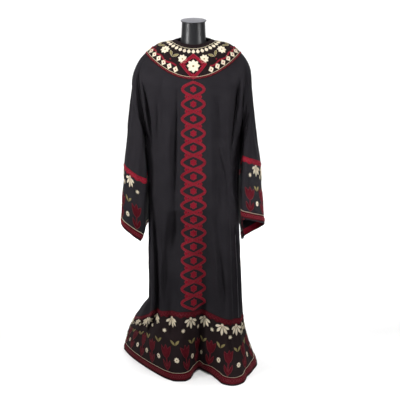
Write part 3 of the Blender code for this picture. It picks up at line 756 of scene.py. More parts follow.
def robe_grids():
    """Middle surface of every piece. The left sleeve's columns run from back to front."""
    fine = np.linspace(-1, 1, BODY_SAMPLES)
    columns = {}
    for face in ("front", "back"):
        rows = [body_point(fine, np.full_like(fine, z), face) for z in COLUMN_LEVELS]
        columns[face] = spread_columns(fine, rows, BODY_CELLS)
    arc = np.linspace(0, 1, SLEEVE_SAMPLES)
    rows = [sleeve_point(arc, np.full_like(arc, z), "left") for z in SLEEVE_COLUMN_LEVELS]
    s = spread_columns(arc, rows, SLEEVE_CELLS)
    front_u = columns["front"]
    back_u = columns["back"]
    grids = {
        "front": body_grid(front_u, "front"),
        "back": body_grid(back_u, "back"),
        "hem_front": hem_grid(front_u, "front"),
        "hem_back": hem_grid(back_u, "back"),
        "sleeve_right": sleeve_grid(s, "right"),
        "cuff_right": cuff_grid(s, "right"),
        "sleeve_left": sleeve_grid(s, "left")[:, ::-1],
        "cuff_left": cuff_grid(s, "left")[:, ::-1],
    }
    angles = np.concatenate([
        front_angle(front_u)[:-1],
        sleeve_angle(s, "right")[:-1],
        back_angle(back_u)[:-1],
        2 * np.pi + sleeve_angle(s, "left")[::-1],
    ])
    out = np.linspace(0, 1, YOKE_CELLS + 1)[:, None]
    yoke = yoke_point(*np.broadcast_arrays(angles, out))
    share = np.linspace(1, 0, NECK_EDGE_ROWS + 1)[:-1, None, None]
    inward = -unit(yoke[0] * np.array([1.0, 1.0, 0.0]))
    side = np.sin(angles)[:, None] ** 2
    rise = inward * (NECK_EDGE_LEAN + NECK_SIDE_LEAN * side)
    rise = rise + np.array([0.0, 0.0, 1.0]) * (NECK_EDGE_HEIGHT - NECK_SIDE_DROP * side)
    grids["yoke"] = np.concatenate([yoke[0] + rise * share, yoke])
    return grids, angles


def edge_places(grids):
    """Grid places on the pieces' edges, gathered by the point that they share."""
    places = {}
    for name, grid in grids.items():
        rows, columns = grid.shape[:2]
        edge = {(i, j) for i in (0, rows - 1) for j in range(columns)}
        edge |= {(i, j) for i in range(rows) for j in (0, columns - 1)}
        for i, j in edge:
            key = tuple(np.round(grid[i, j], SAME_POINT_DIGITS))
            places.setdefault(key, []).append((name, i, j))
    return list(places.values())


def normals_of(grids, shared):
    """Outward normals, one for each shared point, and how far each leans from its own piece."""
    normals = {
        name: unit(np.cross(np.gradient(grid, axis=0), np.gradient(grid, axis=1)))
        for name, grid in grids.items()
    }
    reach = {name: np.ones(grid.shape[:2]) for name, grid in grids.items()}
    for group in shared:
        own = [normals[name][i, j] for name, i, j in group]
        mean = unit(sum(own))
        stretch = min(1 / max(min(float(n @ mean) for n in own), LEAST_COSINE), MITER_LIMIT)
        for name, i, j in group:
            normals[name][i, j] = mean
            reach[name][i, j] = stretch
    return normals, reach


# Creases as seen straight on, for each side: half width and outward depth in tenths of a
# millimetre, then places across and up that side in millimetres
FACING = {
    "front": (0, np.array([0.0, -1.0, 0.0])),
    "back": (0, np.array([0.0, 1.0, 0.0])),
    "left": (1, np.array([-1.0, 0.0, 0.0])),
    "right": (1, np.array([1.0, 0.0, 0.0])),
}
Crease = namedtuple("Crease", "side width depth path")
CREASE_ROWS = {
    "front": (
        # Two valleys beside the left arm a ridge between them, and the right
        (52, -180, -239, 1360, -230, 1249, -221, 1161, -218, 1073, -215, 1010),
        (80, 80, -226, 1340, -217, 1251, -207, 1181, -200, 1111, -196, 1040),
        (62, -300, -226, 1345, -205, 1250, -192, 1162, -184, 1090, -179, 1030),
        (60, -320, 205, 1345, 190, 1250, 179, 1162, 172, 1090, 168, 1040),
        (90, 75, 222, 1330, 211, 1251, 203, 1163, 197, 1075),
        (60, -130, 250, 1300, 245, 1249, 239, 1161, 231, 1082, 225, 1020),
        (130, 170, 229, 1345, 223, 1250, 217, 1190, 217, 1130, 221, 1080),
        # Long folds down the body, the deep one that ends in the hem's notch among them
        (120, -102, -157, 1270, -156, 1122, -158, 936),
        (110, -76, -131, 1347, -136, 1252, -139, 1113),
        (180, 110, -96, 1322, -101, 1210, -106, 1114, -111, 990, -112, 856),
        (105, -190, -68, 1300, -73, 1166, -78, 1040, -81, 900, -82, 810, -80, 720, -86, 630, -94,
         560),
        (380, -430, -78, 760, -80, 640, -88, 530, -94, 446, -96, 352, -98, 277, -100, 190),
        (140, -440, -187, 820, -172, 717, -169, 603, -162, 440, -164, 346, -167, 280, -190, 205,
         -230, 155, -262, 80),
        (90, 136, -149, 641, -145, 531, -150, 429, -156, 310),
        (130, 119, -121, 831, -122, 723, -131, 604, -137, 503),
        (160, -127, 103, 1270, 112, 1166, 117, 1050),
        (150, 127, 72, 1240, 77, 1034, 82, 856, 85, 675),
        (140, 110, 155, 1295, 154, 1164, 159, 1032, 166, 898, 172, 800),
        (70, -75, 112, 1060, 120, 995, 133, 940, 143, 880, 150, 801, 156, 711),
        (110, -95, 102, 920, 105, 780, 109, 660, 118, 560, 132, 450, 144, 350, 148, 250),
        (140, 136, 91, 700, 99, 560, 108, 430, 118, 300),
        (120, -119, 182, 760, 184, 560, 190, 400),
        (360, -340, 56, 760, 50, 650, 46, 560, 40, 443, 36, 349, 31, 254, 24, 135, 24, -60),
        (200, -280, 42, 340, 34, 254, 26, 150, 24, -80),
        # The skirt's flank turns in beside the right cuff
        (95, -160, 196, 1030, 189, 950, 186, 880, 188, 810, 196, 740, 204, 680),
        # Hem lobes in front
        (150, 100, -237, 280, -256, 193, -284, 90),
        (130, -90, -98, 290, -104, 180, -114, 50),
        (130, 85, -50, 290, -54, 150, -60, 10),
        (120, -100, 150, 260, 168, 140, 190, 30),
        (130, 100, 206, 250, 224, 130, 244, 10),
        # Arms from the front
        (120, -60, -262, 1200, -268, 1060, -272, 960),
        (130, 60, -236, 1080, -240, 980, -246, 860),
        (100, -60, -286, 1020, -290, 900, -296, 780),
        (110, -75, -240, 880, -248, 780, -258, 680),
        (120, -65, 262, 1090, 266, 980, 270, 880),
        (120, 70, 240, 1010, 238, 930, 240, 840),
        (100, -65, 284, 980, 290, 880, 296, 760),
        (100, 60, 262, 900, 268, 820, 276, 740),
    ),
    "back": (
        # Valleys beside the arms, then long folds that leave the yoke unevenly
        (77, -224, -236, 1370, -208, 1240, -190, 1120, -194, 980),
        (108, 140, -214, 1320, -184, 1200, -166, 1070),
        (77, -210, 226, 1365, 200, 1230, 180, 1110, 178, 990),
        (108, 140, 204, 1310, 172, 1200, 152, 1080),
        (135, -168, -130, 1310, -140, 1140, -146, 940, -142, 760),
        (153, 140, -92, 1260, -100, 1060, -98, 840),
        (117, -153, -48, 1300, -52, 1120, -46, 920),
        (144, -140, 22, 1200, 18, 1000, 26, 800),
        (144, 153, 66, 1290, 74, 1080, 70, 860),
        (126, -168, 112, 1320, 122, 1160, 126, 960, 120, 800),
        (117, -153, -186, 700, -190, 500, -206, 320),
        (126, 140, -112, 640, -116, 480, -122, 300),
        (108, -153, -30, 660, -34, 480, -44, 290),
        (126, 140, 44, 560, 50, 420, 52, 250),
        (108, -168, 142, 680, 146, 520, 152, 350),
        (108, 140, 186, 620, 190, 460, 198, 280),
        (108, -153, -262, 230, -280, 130, -300, 20),
        (117, 140, 110, 240, 122, 130, 138, 20),
        (99, -140, -266, 1150, -272, 1010, -278, 860),
        (99, -140, 246, 1160, 256, 1020, 268, 850),
    ),
    "left": (
        # Outer sides of the arms, and the skirt's sides
        (120, -85, -52, 1300, -60, 1160, -56, 1000),
        (130, -60, 10, 1180, 4, 1020, 10, 860),
        (120, -85, 56, 1260, 64, 1090, 58, 900),
        (110, -76, -24, 900, -30, 800, -26, 690),
        (120, -102, 20, 640, 30, 460, 60, 280),
        (130, 85, 90, 600, 110, 420, 150, 200),
    ),
    "right": (
        (120, -85, -56, 1290, -64, 1150, -58, 1010),
        (130, -60, 6, 1200, 14, 1050, 6, 900),
        (120, -85, 60, 1240, 66, 1080, 56, 880),
        (110, -76, -30, 900, -22, 800, -30, 700),
        (120, -102, -30, 660, -40, 480, -50, 300),
        (130, 85, 70, 600, 80, 420, 100, 220),
    ),
}
CREASES = [
    Crease(side, row[0] / 10000, row[1] / 10000, np.array(row[2:]).reshape(-1, 2) / 1000)
    for side, rows in CREASE_ROWS.items()
    for row in rows
]

# Slight unevenness all over: wave lengths in metres, heights of the waves, and their starts
Ripple = namedtuple("Ripple", "x y z height start")
RIPPLES = (
    Ripple(0.130, 0.170, 0.520, 0.0010, 0.4),
    Ripple(0.078, 0.110, 0.310, 0.0006, 2.1),
    Ripple(0.052, 0.061, 0.170, 0.0004, 4.0),
    Ripple(0.210, 0.240, 0.140, 0.0005, 1.2),
)


def rounded_path(points):
    """Even points along a smooth curve through a few places."""
    ahead = np.concatenate([[2 * points[0] - points[1]], points, [2 * points[-1] - points[-2]]])
    t = np.arange(PATH_STEPS)[:, None] / PATH_STEPS
    dense = [spline(*ahead[k:k + 4], t) for k in range(len(points) - 1)]
    dense = np.concatenate(dense + [points[-1:]])
    length = np.concatenate([[0], np.cumsum(np.linalg.norm(np.diff(dense, axis=0), axis=1))])
    at = np.linspace(0, length[-1], PATH_POINTS)
    return np.stack([np.interp(at, length, dense[:, k]) for k in range(dense.shape[1])], axis=-1)


def wavering(waver, place, number):
    return 1 + waver.size * np.sin(waver.rate * place + waver.start * number)


def crease_height(points, normals, crease, number):
    """Outward move of each point by one crease, uneven along it and fading at its ends."""
    axis, facing = FACING[crease.side]
    turned = ease((normals @ facing - FACES_FROM) / FACES_SPAN)
    path = rounded_path(crease.path)
    flat = np.stack([points[..., axis], points[..., 2]], axis=-1)
    reach = CREASE_REACH * crease.width
    inside = (flat > path.min(axis=0) - reach) & (flat < path.max(axis=0) + reach)
    near = (turned > 0) & inside.all(axis=-1)
    height = np.zeros(points.shape[:-1])
    if not near.any():
        return height
    spots = flat[near]
    apart = np.linalg.norm(spots[:, None] - path[None], axis=-1)
    k = np.clip(apart.argmin(axis=1), 1, len(path) - 2)
    before = path[k - 1]
    along = path[k + 1] - before
    t = np.clip(((spots - before) * along).sum(-1) / (along ** 2).sum(-1), 0, 1)
    off = np.linalg.norm(spots - before - along * t[:, None], axis=-1)
    place = (k - 1 + 2 * t) / (len(path) - 1)
    fade = np.sin(np.pi * np.clip(place, 0, 1)) ** CREASE_FADE
    width = crease.width * wavering(WIDTH_WAVER, place, number)
    depth = crease.depth * fade * wavering(DEPTH_WAVER, place, number)
    height[near] = depth * np.exp(-(off / width) ** 2) * turned[near]
    return height


def ripple_height(points):
    x, y, z = np.moveaxis(points, -1, 0)
    height = np.zeros(points.shape[:-1])
    for wave in RIPPLES:
        phase = x / wave.x + y / wave.y + z / wave.z
        bend = BEND_SIZE * np.sin(BEND_RATE * z / wave.z + wave.start)
        height += wave.height * np.sin(2 * np.pi * phase + wave.start + bend)
    return height


def creased(grids, shared):
    """Every ripple moves the grids along the shared normals, every crease straight in or out."""
    normals, _ = normals_of(grids, shared)
    moves = {}
    for name, grid in grids.items():
        ripple = ripple_height(grid) * (YOKE_RIPPLE if name == "yoke" else 1.0)
        move = normals[name] * ripple[..., None]
        for number, crease in enumerate(CREASES):
            height = crease_height(grid, normals[name], crease, number)
            move = move + FACING[crease.side][1] * height[..., None]
        moves[name] = move
    # A shared point moves by the mean of its pieces' moves
    for group in shared:
        mean = sum(moves[name][i, j] for name, i, j in group) / len(group)
        for name, i, j in group:
            moves[name][i, j] = mean
    return {name: grid + moves[name] for name, grid in grids.items()}


def mesh_object(name, points, faces, materials, uv=None, indices=None, slot="robe"):
    """A smooth mesh that rides on the root, with its UVs in metres along the cloth."""
    data = bpy.data.meshes.new(name)
    data.from_pydata([tuple(point) for point in points], [], [tuple(face) for face in faces])
    if uv is not None:
        layer = data.uv_layers.new(name="cloth")
        layer.data.foreach_set("uv", np.asarray(uv, dtype=np.float32).ravel())
    for material in materials:
        data.materials.append(material)
    if indices is not None:
        data.polygons.foreach_set("material_index", np.asarray(indices, dtype=np.int32))
    data.shade_smooth()
    data.set_sharp_from_angle(angle=SHARP_EDGE)
    item = bpy.data.objects.new(name, data)
    bpy.context.scene.collection.objects.link(item)
    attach(item, "root")
    return item


def along_rows(grid):
    step = np.linalg.norm(np.diff(grid, axis=1), axis=-1)
    return np.concatenate([np.zeros((grid.shape[0], 1)), np.cumsum(step, axis=1)], axis=1)


def down_columns(grid):
    step = np.linalg.norm(np.diff(grid, axis=0), axis=-1)
    return np.concatenate([np.zeros((1, grid.shape[1])), np.cumsum(step, axis=0)], axis=0)


def shell_corners(rows, columns, closed=False):
    """Rows, columns and skins of the corners of a closed wall's faces, the first skin outside."""
    i, j = (part.ravel() for part in np.indices((rows - 1, columns - 1)))
    outside = np.stack([[i, i + 1, i + 1, i], [j, j, j + 1, j + 1], np.zeros((4, len(i)), int)])
    inside = outside[:, ::-1] + np.array([0, 0, 1])[:, None, None]
    down = np.arange(rows)
    across = np.arange(columns)
    # Each rim runs so that its faces look outward
    rims = [(0, across), (rows - 1, across[::-1])]
    if not closed:
        rims += [(down[::-1], 0), (down, columns - 1)]
    quads = [outside, inside]
    for rim in rims:
        i, j = np.broadcast_arrays(*rim)
        skin = np.repeat([[0], [0], [1], [1]], len(i) - 1, axis=1)
        ends = ([line[:-1], line[1:], line[1:], line[:-1]] for line in (i, j))
        quads.append(np.stack([*ends, skin]))
    return np.concatenate(quads, axis=2).transpose(0, 2, 1)


def wall(name, outer, inner, closed, materials, slot):
    """A closed wall between two grids of points. UVs count across, and up from the lower edge."""
    rows, columns = outer.shape[:2]
    count = columns - 1 if closed else columns
    points = np.concatenate([outer[:, :count].reshape(-1, 3), inner[:, :count].reshape(-1, 3)])
    across = along_rows(outer)[rows // 2]
    down = down_columns(outer)
    i, j, skin = shell_corners(rows, columns, closed)
    uv = np.stack([across[j], down[-1][j] - down[i, j]], axis=-1).reshape(-1, 2)
    faces = (skin * rows + i) * count + j % count
    return mesh_object(name, points, faces, materials, uv, skin.min(axis=1), slot)


class Cloth:
    """A piece's outer skin, on which ornament is laid by lengths measured along the cloth."""

    def __init__(self, skin, normals, closed=False):
        self.wrap = WRAP if closed else 0
        if closed:
            skin, normals = (
                np.concatenate([table[:, -WRAP - 1:-1], table, table[:, 1:WRAP + 1]], axis=1)
                for table in (skin, normals)
            )
        self.skin = skin
        self.normals = normals
        self.rows, self.columns = skin.shape[:2]
        self.every_row = np.arange(self.rows)
        self.every_column = np.arange(self.columns)
        self.across = along_rows(skin)
        self.down = down_columns(skin)

    def at(self, i, j):
        """Point and normal at a fractional row and column."""
        i = np.clip(i, 0, self.rows - JUST_OVER_ONE)
        j = np.clip(j, 0, self.columns - JUST_OVER_ONE)
        a = i.astype(int)
        b = j.astype(int)
        p = (i - a)[..., None]
        q = (j - b)[..., None]
        found = []
        for table in (self.skin, self.normals):
            upper = table[a, b] * (1 - q) + table[a, b + 1] * q
            lower = table[a + 1, b] * (1 - q) + table[a + 1, b + 1] * q
            found.append(upper * (1 - p) + lower * p)
        return found[0], unit(found[1])

    def column_lengths(self, column):
        b = min(int(column), self.columns - 2)
        q = column - b
        return self.down[:, b] * (1 - q) + self.down[:, b + 1] * q

    def row_lengths(self, row):
        a = min(int(row), self.rows - 2)
        p = row - a
        return self.across[a] * (1 - p) + self.across[a + 1] * p

    def full_lengths(self, columns):
        return np.array([self.column_lengths(column)[-1] for column in columns])

    def lay(self, row, column, moves):
        """Rows and columns of points moved sideways and up from a place, by true lengths."""
        lengths = self.column_lengths(column)
        here = np.interp(row, self.every_row, lengths)
        rows = np.interp(here - moves[:, 1], lengths, self.every_row)
        columns = np.empty(len(moves))
        for k, (at_row, sideways) in enumerate(zip(rows, moves[:, 0])):
            widths = self.row_lengths(at_row)
            middle = np.interp(column, self.every_column, widths)
            columns[k] = np.interp(middle + sideways, widths, self.every_column)
        return rows, columns

    def row_below_top(self, column, length):
        return float(np.interp(length, self.column_lengths(column), self.every_row))

    def row_above_edge(self, column, height):
        """The row that lies a length above the piece's lower edge."""
        lengths = self.column_lengths(column)
        return float(np.interp(lengths[-1] - height, lengths, self.every_row))

    def rows_above_edge(self, columns, heights):
        return np.array([self.row_above_edge(*place) for place in zip(columns, heights)])

    def column_at(self, length):
        """The column at a length along the row that is half the way down."""
        widths = self.row_lengths((self.rows - 1) / 2)
        return float(np.interp(length, widths, self.every_column))


def winding(points, loops):
    """How many times closed outlines turn round each point."""
    turns = np.zeros(len(points), dtype=int)
    x = points[:, 0][:, None]
    y = points[:, 1][:, None]
    for loop in loops:
        a = loop
        b = np.roll(loop, -1, axis=0)
        side = (b[:, 0] - a[:, 0]) * (y - a[:, 1]) - (x - a[:, 0]) * (b[:, 1] - a[:, 1])
        upward = (a[:, 1] <= y) & (b[:, 1] > y) & (side > 0)
        downward = (a[:, 1] > y) & (b[:, 1] <= y) & (side < 0)
        turns += upward.sum(axis=1) - downward.sum(axis=1)
    return turns


def resampled(loop, step):
    """A closed outline with no edge longer than a step."""
    points = []
    for a, b in zip(loop, np.roll(loop, -1, axis=0)):
        pieces = max(1, math.ceil(np.linalg.norm(b - a) / step))
        points.extend(a + (b - a) * k / pieces for k in range(pieces))
    return np.array(points)


def turned_left(loop):
    """The outline run counterclockwise."""
    ahead = np.roll(loop, -1, axis=0)
    area = (loop[:, 0] * ahead[:, 1] - ahead[:, 0] * loop[:, 1]).sum()
    return loop if area > 0 else loop[::-1]


class Motif:
    """Flat outlines joined into one shape, cut into small triangles so that it can bend."""

    def __init__(self, outlines, holes=(), step=0.0045):
        loops = [turned_left(np.asarray(loop, dtype=float)) for loop in outlines]
        loops += [turned_left(np.asarray(loop, dtype=float))[::-1] for loop in holes]
        loops = [resampled(loop, step) for loop in loops]
        points = np.concatenate(loops)
        edges = []
        start = 0
        for loop in loops:
            edges += [(start + k, start + (k + 1) % len(loop)) for k in range(len(loop))]
            start += len(loop)
        low = points.min(axis=0)
        high = points.max(axis=0)
        grid = np.stack(np.meshgrid(
            np.arange(low[0] + step / 2, high[0], step),
            np.arange(low[1] + step / 2, high[1], step),
        ), axis=-1).reshape(-1, 2)
        if len(grid):
            apart = np.array([np.abs(points - spot).max(axis=1).min() for spot in grid])
            grid = grid[(apart > step * GRID_GAP) & (winding(grid, loops) > 0)]
            points = np.concatenate([points, grid])
        corners = [Vector(point) for point in points]
        spots, _, triangles, *_ = delaunay_2d_cdt(corners, edges, [], 0, SAME_SPOT)
        self.points = np.array([tuple(spot) for spot in spots])
        triangles = np.array(triangles)
        centres = self.points[triangles].mean(axis=1)
        triangles = triangles[winding(centres, loops) > 0]
        a, b, c = (self.points[triangles[:, k]] for k in range(3))
        one, other = (b - a).T, (c - a).T
        area = one[0] * other[1] - other[0] * one[1]
        triangles[area < 0] = triangles[area < 0][:, ::-1]
        self.triangles = triangles[np.abs(area) > LEAST_AREA]
        directed = {(int(t[k]), int(t[(k + 1) % 3])) for t in self.triangles for k in range(3)}
        self.border = [edge for edge in directed if edge[::-1] not in directed]
        self.chains = chains(self.border)


def chains(edges):
    """Closed runs of points through a set of directed edges."""
    following = {}
    for a, b in sorted(edges):
        following.setdefault(a, []).append(b)
    runs = []
    while following:
        start = next(iter(following))
        run = [start]
        while True:
            options = following[run[-1]]
            ahead = options.pop()
            if not options:
                del following[run[-1]]
            if ahead == start:
                break
            run.append(ahead)
            if ahead not in following:
                break
        if len(run) > 2:
            runs.append(run)
    return runs


def skins(spots, normals, edge, base=0.0):
    """Top of a flat shape on the cloth, a little lower at its edge, and then its underside."""
    lift = base + TRIM * (1 - EDGE_DROP * edge)
    top = spots + normals * lift[..., None]
    bottom = spots + normals * (base - SINK)
    return np.concatenate([top.reshape(-1, 3), bottom.reshape(-1, 3)])


class Applique:
    """Many small shapes of one colour, laid on one piece of cloth and kept as one mesh."""

    def __init__(self, name, material):
        self.name = name
        self.material = material
        self.points = []
        self.faces = []
        self.uvs = []
        self.total = 0

    def add(self, points, faces, uv):
        self.points.append(points)
        self.faces.extend(tuple(int(k) + self.total for k in face) for face in faces)
        self.uvs.extend(uv[int(k)] for face in faces for k in face)
        self.total += len(points)

    def stamp(self, cloth, row, column, motif, turn=0.0, size=1.0, base=0.0, flip=1.0):
        """Lay a motif on the cloth with its own origin at a place."""
        c, s = math.cos(turn), math.sin(turn)
        flat = motif.points * size * np.array([flip, 1.0])
        moves = flat @ np.array([[c, s], [-s, c]])
        rows, columns = cloth.lay(row, column, moves)
        spots, normals = cloth.at(rows, columns)
        count = len(spots)
        edge = np.zeros(count)
        edge[[k for pair in motif.border for k in pair]] = 1.0
        faces = [tuple(t if flip > 0 else t[::-1]) for t in motif.triangles]
        faces += [tuple(k + count for k in face[::-1]) for face in faces]
        for a, b in motif.border:
            a, b = (a, b) if flip > 0 else (b, a)
            faces.append((a, a + count, b + count, b))
        self.add(skins(spots, normals, edge, base), faces, np.concatenate([moves, moves]))
        return rows, columns

    def ribbon(self, cloth, rows, columns):
        """A strip through a grid of fractional rows and columns, first axis across it."""
        spots, normals = cloth.at(rows, columns)
        edge = np.zeros(rows.shape)
        edge[[0, -1]] = 1.0
        i, j, skin = shell_corners(*rows.shape)
        faces = (skin * rows.shape[0] + i) * rows.shape[1] + j
        uv = np.stack([along_rows(spots), -down_columns(spots)], axis=-1).reshape(-1, 2)
        self.add(skins(spots, normals, edge), faces, np.concatenate([uv, uv]))

    def cord(self, cloth, rows, columns, radius, base=0.0, closed=False):
        """A round cord that lies along a line of the cloth."""
        spots, normals = cloth.at(rows, columns)
        centres = spots + normals * (base + radius * CORD_CENTRE)
        if closed:
            ahead = np.roll(centres, -1, axis=0)
            behind = np.roll(centres, 1, axis=0)
        else:
            ahead = np.concatenate([centres[1:], centres[-1:]])
            behind = np.concatenate([centres[:1], centres[:-1]])
        along = unit(ahead - behind + TINY)
        beside = unit(np.cross(along, normals))
        up = np.cross(beside, along)
        angle = np.arange(CORD_SIDES) * 2 * np.pi / CORD_SIDES
        ring = np.cos(angle)[None, :, None] * beside[:, None]
        ring = ring + np.sin(angle)[None, :, None] * up[:, None]
        points = (centres[:, None] + ring * radius).reshape(-1, 3)
        count = len(centres)
        faces = []
        for i in range(count if closed else count - 1):
            k = (i + 1) % count
            a, b = i * CORD_SIDES, k * CORD_SIDES
            for j in range(CORD_SIDES):
                m = (j + 1) % CORD_SIDES
                faces.append((a + j, a + m, b + m, b + j))
        if not closed:
            faces.append(tuple(range(CORD_SIDES))[::-1])
            faces.append(tuple((count - 1) * CORD_SIDES + j for j in range(CORD_SIDES)))
        step = np.linalg.norm(np.diff(centres, axis=0), axis=1)
        run = np.concatenate([[0], np.cumsum(step)])
        girth = np.tile(angle / (2 * np.pi) * radius * 6, count)
        self.add(points, faces, np.stack([np.repeat(run, CORD_SIDES), girth], axis=-1))

    def build(self):
        points = np.concatenate(self.points)
        uv = np.array(self.uvs)
        return mesh_object(self.name, points, self.faces, [self.material], uv, slot="trim")


def petal(length, width, angle=0.0, bend=0.0, start=0.0, belly=0.55):
    """A pointed petal from near the origin upward, turned clockwise by an angle, its tip bent."""
    t = np.linspace(0, 1, PETAL_POINTS)
    half = width / 2 * np.sin(np.pi * t ** (math.log(0.5) / math.log(belly))) ** PETAL_FULLNESS
    drift = bend * t ** 2
    right = np.stack([drift + half, start + length * t], axis=-1)
    left = np.stack([drift - half, start + length * t], axis=-1)[::-1]
    c, s = math.cos(angle), math.sin(angle)
    return np.concatenate([right, left[1:-1]]) @ np.array([[c, -s], [s, c]])


def spokes(reach, angle):
    return np.stack([reach * np.cos(angle), reach * np.sin(angle)], axis=-1)


def disc(radius):
    return spokes(radius, np.arange(DISC_POINTS) * 2 * np.pi / DISC_POINTS)


def lozenge(width, height):
    return np.array([(width / 2, 0), (0, height / 2), (-width / 2, 0), (0, -height / 2)])


def flower(radius, petals=8, width=0.52):
    leaves = [
        petal(radius, radius * width, 2 * np.pi * k / petals, belly=0.62) for k in range(petals)
    ]
    return leaves + [disc(radius * 0.24)]


def star(radius):
    turns = np.arange(2 * STAR_POINTS)
    reach = np.where(turns % 2 == 0, radius, radius * STAR_INNER)
    return [spokes(reach, np.pi / 2 + turns * np.pi / STAR_POINTS)]


def tulip(height):
    """A tulip on its stem, with two leaves, standing on the origin."""
    stem = height * 0.47
    half = height * 0.0225
    cup = height - stem
    outlines = [
        np.array([(-half, 0), (half, 0), (half, stem * 1.1), (-half, stem * 1.1)]),
        petal(cup, cup * 0.36, 0.0, start=stem, belly=0.42),
    ]
    for side in (1, -1):
        petal_out = petal(cup * 0.96, cup * 0.34, side * 0.30, side * 0.10 * cup, belly=0.42)
        outlines.append(petal_out + np.array([0.0, stem]))
    for side in (1, -1):
        leaf = petal(height * 0.40, height * 0.11, side * 0.62, side * -0.09 * height, belly=0.5)
        outlines.append(leaf + np.array([0.0, height * 0.03]))
    return outlines


def palmette(height):
    """Five rounded leaves spread from a small knot at the origin."""
    leaves = [
        petal(height * size, height * 0.24, angle, start=height * 0.06, belly=0.66)
        for size, angle in ((0.94, 0.0), (0.86, 0.58), (0.86, -0.58), (0.70, 1.16), (0.70, -1.16))
    ]
    return leaves + [disc(height * 0.13)]


def wave_loop(length, half_wave, phase):
    """One of the column's two winding bands, as an outline that runs down from the origin."""
    down = np.linspace(0, length, int(length / WEAVE_STEP))
    reach = COLUMN_REACH[0] + (COLUMN_REACH[1] - COLUMN_REACH[0]) * down / length
    middle = reach * np.sin(np.pi * down / half_wave + phase)
    slope = np.gradient(middle, down)
    across = np.stack([np.ones_like(slope), slope], axis=-1) / np.sqrt(1 + slope ** 2)[:, None]
    centre = np.stack([middle, -down], axis=-1)
    right = centre + across * COLUMN_BAND / 2
    left = centre - across * COLUMN_BAND / 2
    return np.concatenate([right, left[::-1]]), centre


class Net:
    """A procedural material: short calls for the nodes of its tree."""

    def __init__(self, name, rough, **constants):
        self.material = bpy.data.materials.new(name)
        self.material.use_nodes = True
        self.tree = self.material.node_tree
        self.shader = self.tree.nodes["Principled BSDF"]
        self.set(self.shader, {"Roughness": rough, **constants})
        self.uv = self.node("ShaderNodeUVMap", {}, uv_map="cloth").outputs[0]
        self.place = self.node("ShaderNodeTexCoord", {}).outputs["Object"]

    def set(self, node, sockets):
        for name, value in sockets.items():
            socket = node.inputs[name]
            if isinstance(value, bpy.types.NodeSocket):
                self.tree.links.new(value, socket)
            else:
                socket.default_value = value

    def node(self, kind, sockets, **settings):
        node = self.tree.nodes.new(kind)
        for name, value in settings.items():
            setattr(node, name, value)
        self.set(node, sockets)
        return node

    def noise(self, scale, detail, rough, vector=None):
        sockets = {"Scale": scale, "Detail": detail, "Roughness": rough}
        sockets["Vector"] = vector or self.place
        return self.node("ShaderNodeTexNoise", sockets).outputs["Fac"]

    def wave(self, period, direction, distortion):
        sockets = {"Scale": WAVE_TURN / period, "Distortion": distortion, "Vector": self.uv}
        settings = {"wave_type": "BANDS", "bands_direction": direction, "wave_profile": "SIN"}
        return self.node("ShaderNodeTexWave", sockets, **settings).outputs["Fac"]

    def math(self, operation, first, second):
        return self.node("ShaderNodeMath", {0: first, 1: second}, operation=operation).outputs[0]

    def blend(self, first, share, second, rest):
        one = self.math("MULTIPLY", first, share)
        return self.math("ADD", one, self.math("MULTIPLY", second, rest))

    def ramp(self, factor, *stops):
        """Two places on a factor from 0 to 1, each with its colour."""
        node = self.node("ShaderNodeValToRGB", {"Fac": factor})
        for element, (position, color) in zip(node.color_ramp.elements, stops):
            element.position = position
            element.color = (*color, 1.0)
        return node.outputs["Color"]

    def bump(self, height, strength, distance, normal=None):
        sockets = {"Height": height, "Strength": strength, "Distance": distance}
        if normal is not None:
            sockets["Normal"] = normal
        return self.node("ShaderNodeBump", sockets).outputs["Normal"]

    def finished(self, color=None, normal=None, rough=None):
        """The material, once these have been joined to its shader."""
        joined = {"Base Color": color, "Normal": normal, "Roughness": rough}
        self.set(self.shader, {name: value for name, value in joined.items() if value is not None})
        return self.material


def grey(value):
    return (value, value, value)


def cloth_material(name, dark, light, weave=0.0009, sheen=0.008):
    """Matt crepe: a plain weave of crimped threads, uneven in tone, with a faint bloom."""
    net = Net(name, 0.78, **{
        "Sheen Weight": sheen,
        "Sheen Roughness": 0.45,
        "Sheen Tint": (0.82, 0.76, 0.84, 1.0),
        "Specular IOR Level": 0.04,
    })
    broad = net.noise(7.0, 4.0, 0.6)
    tone = net.blend(broad, 0.75, net.noise(1400.0, 2.0, 0.6, net.uv), 0.25)
    cross = net.math("MULTIPLY", net.wave(weave, "X", 1.5), net.wave(weave, "Y", 1.5))
    crimp = net.math("MULTIPLY", net.noise(520.0, 3.0, 0.6, net.uv), 1.4)
    fine = net.bump(net.math("ADD", cross, crimp), 0.35, 0.00025)
    soft = net.bump(net.noise(26.0, 3.0, 0.5), 0.25, 0.004, fine)
    rough = net.ramp(broad, (0.2, grey(0.70)), (0.8, grey(0.88)))
    return net.finished(net.ramp(tone, (0.30, dark), (0.72, light)), soft, rough)


def felt_material(name, dark, light):
    """Wool felt: matted fibres, worn a little paler in patches."""
    net = Net(name, 0.72, **{"Sheen Roughness": 0.5, "Specular IOR Level": 0.05})
    fibre = net.noise(900.0, 3.0, 0.7)
    tone = net.blend(net.noise(38.0, 4.0, 0.6), 0.62, fibre, 0.38)
    color = net.ramp(tone, (0.33, dark), (0.68, light))
    return net.finished(color, net.bump(fibre, 0.5, 0.0004))


def thread_material(name, dark, light):
    """Twisted embroidery thread."""
    net = Net(name, 0.5, **{
        "Sheen Weight": 0.02,
        "Sheen Roughness": 0.4,
        "Specular IOR Level": 0.14,
    })
    strands = net.wave(THREAD_TWIST, "DIAGONAL", 0.4)
    tone = net.blend(strands, 0.6, net.noise(160.0, 2.0, 0.5), 0.4)
    color = net.ramp(tone, (0.2, dark), (0.75, light))
    return net.finished(color, net.bump(strands, 0.6, 0.0003))


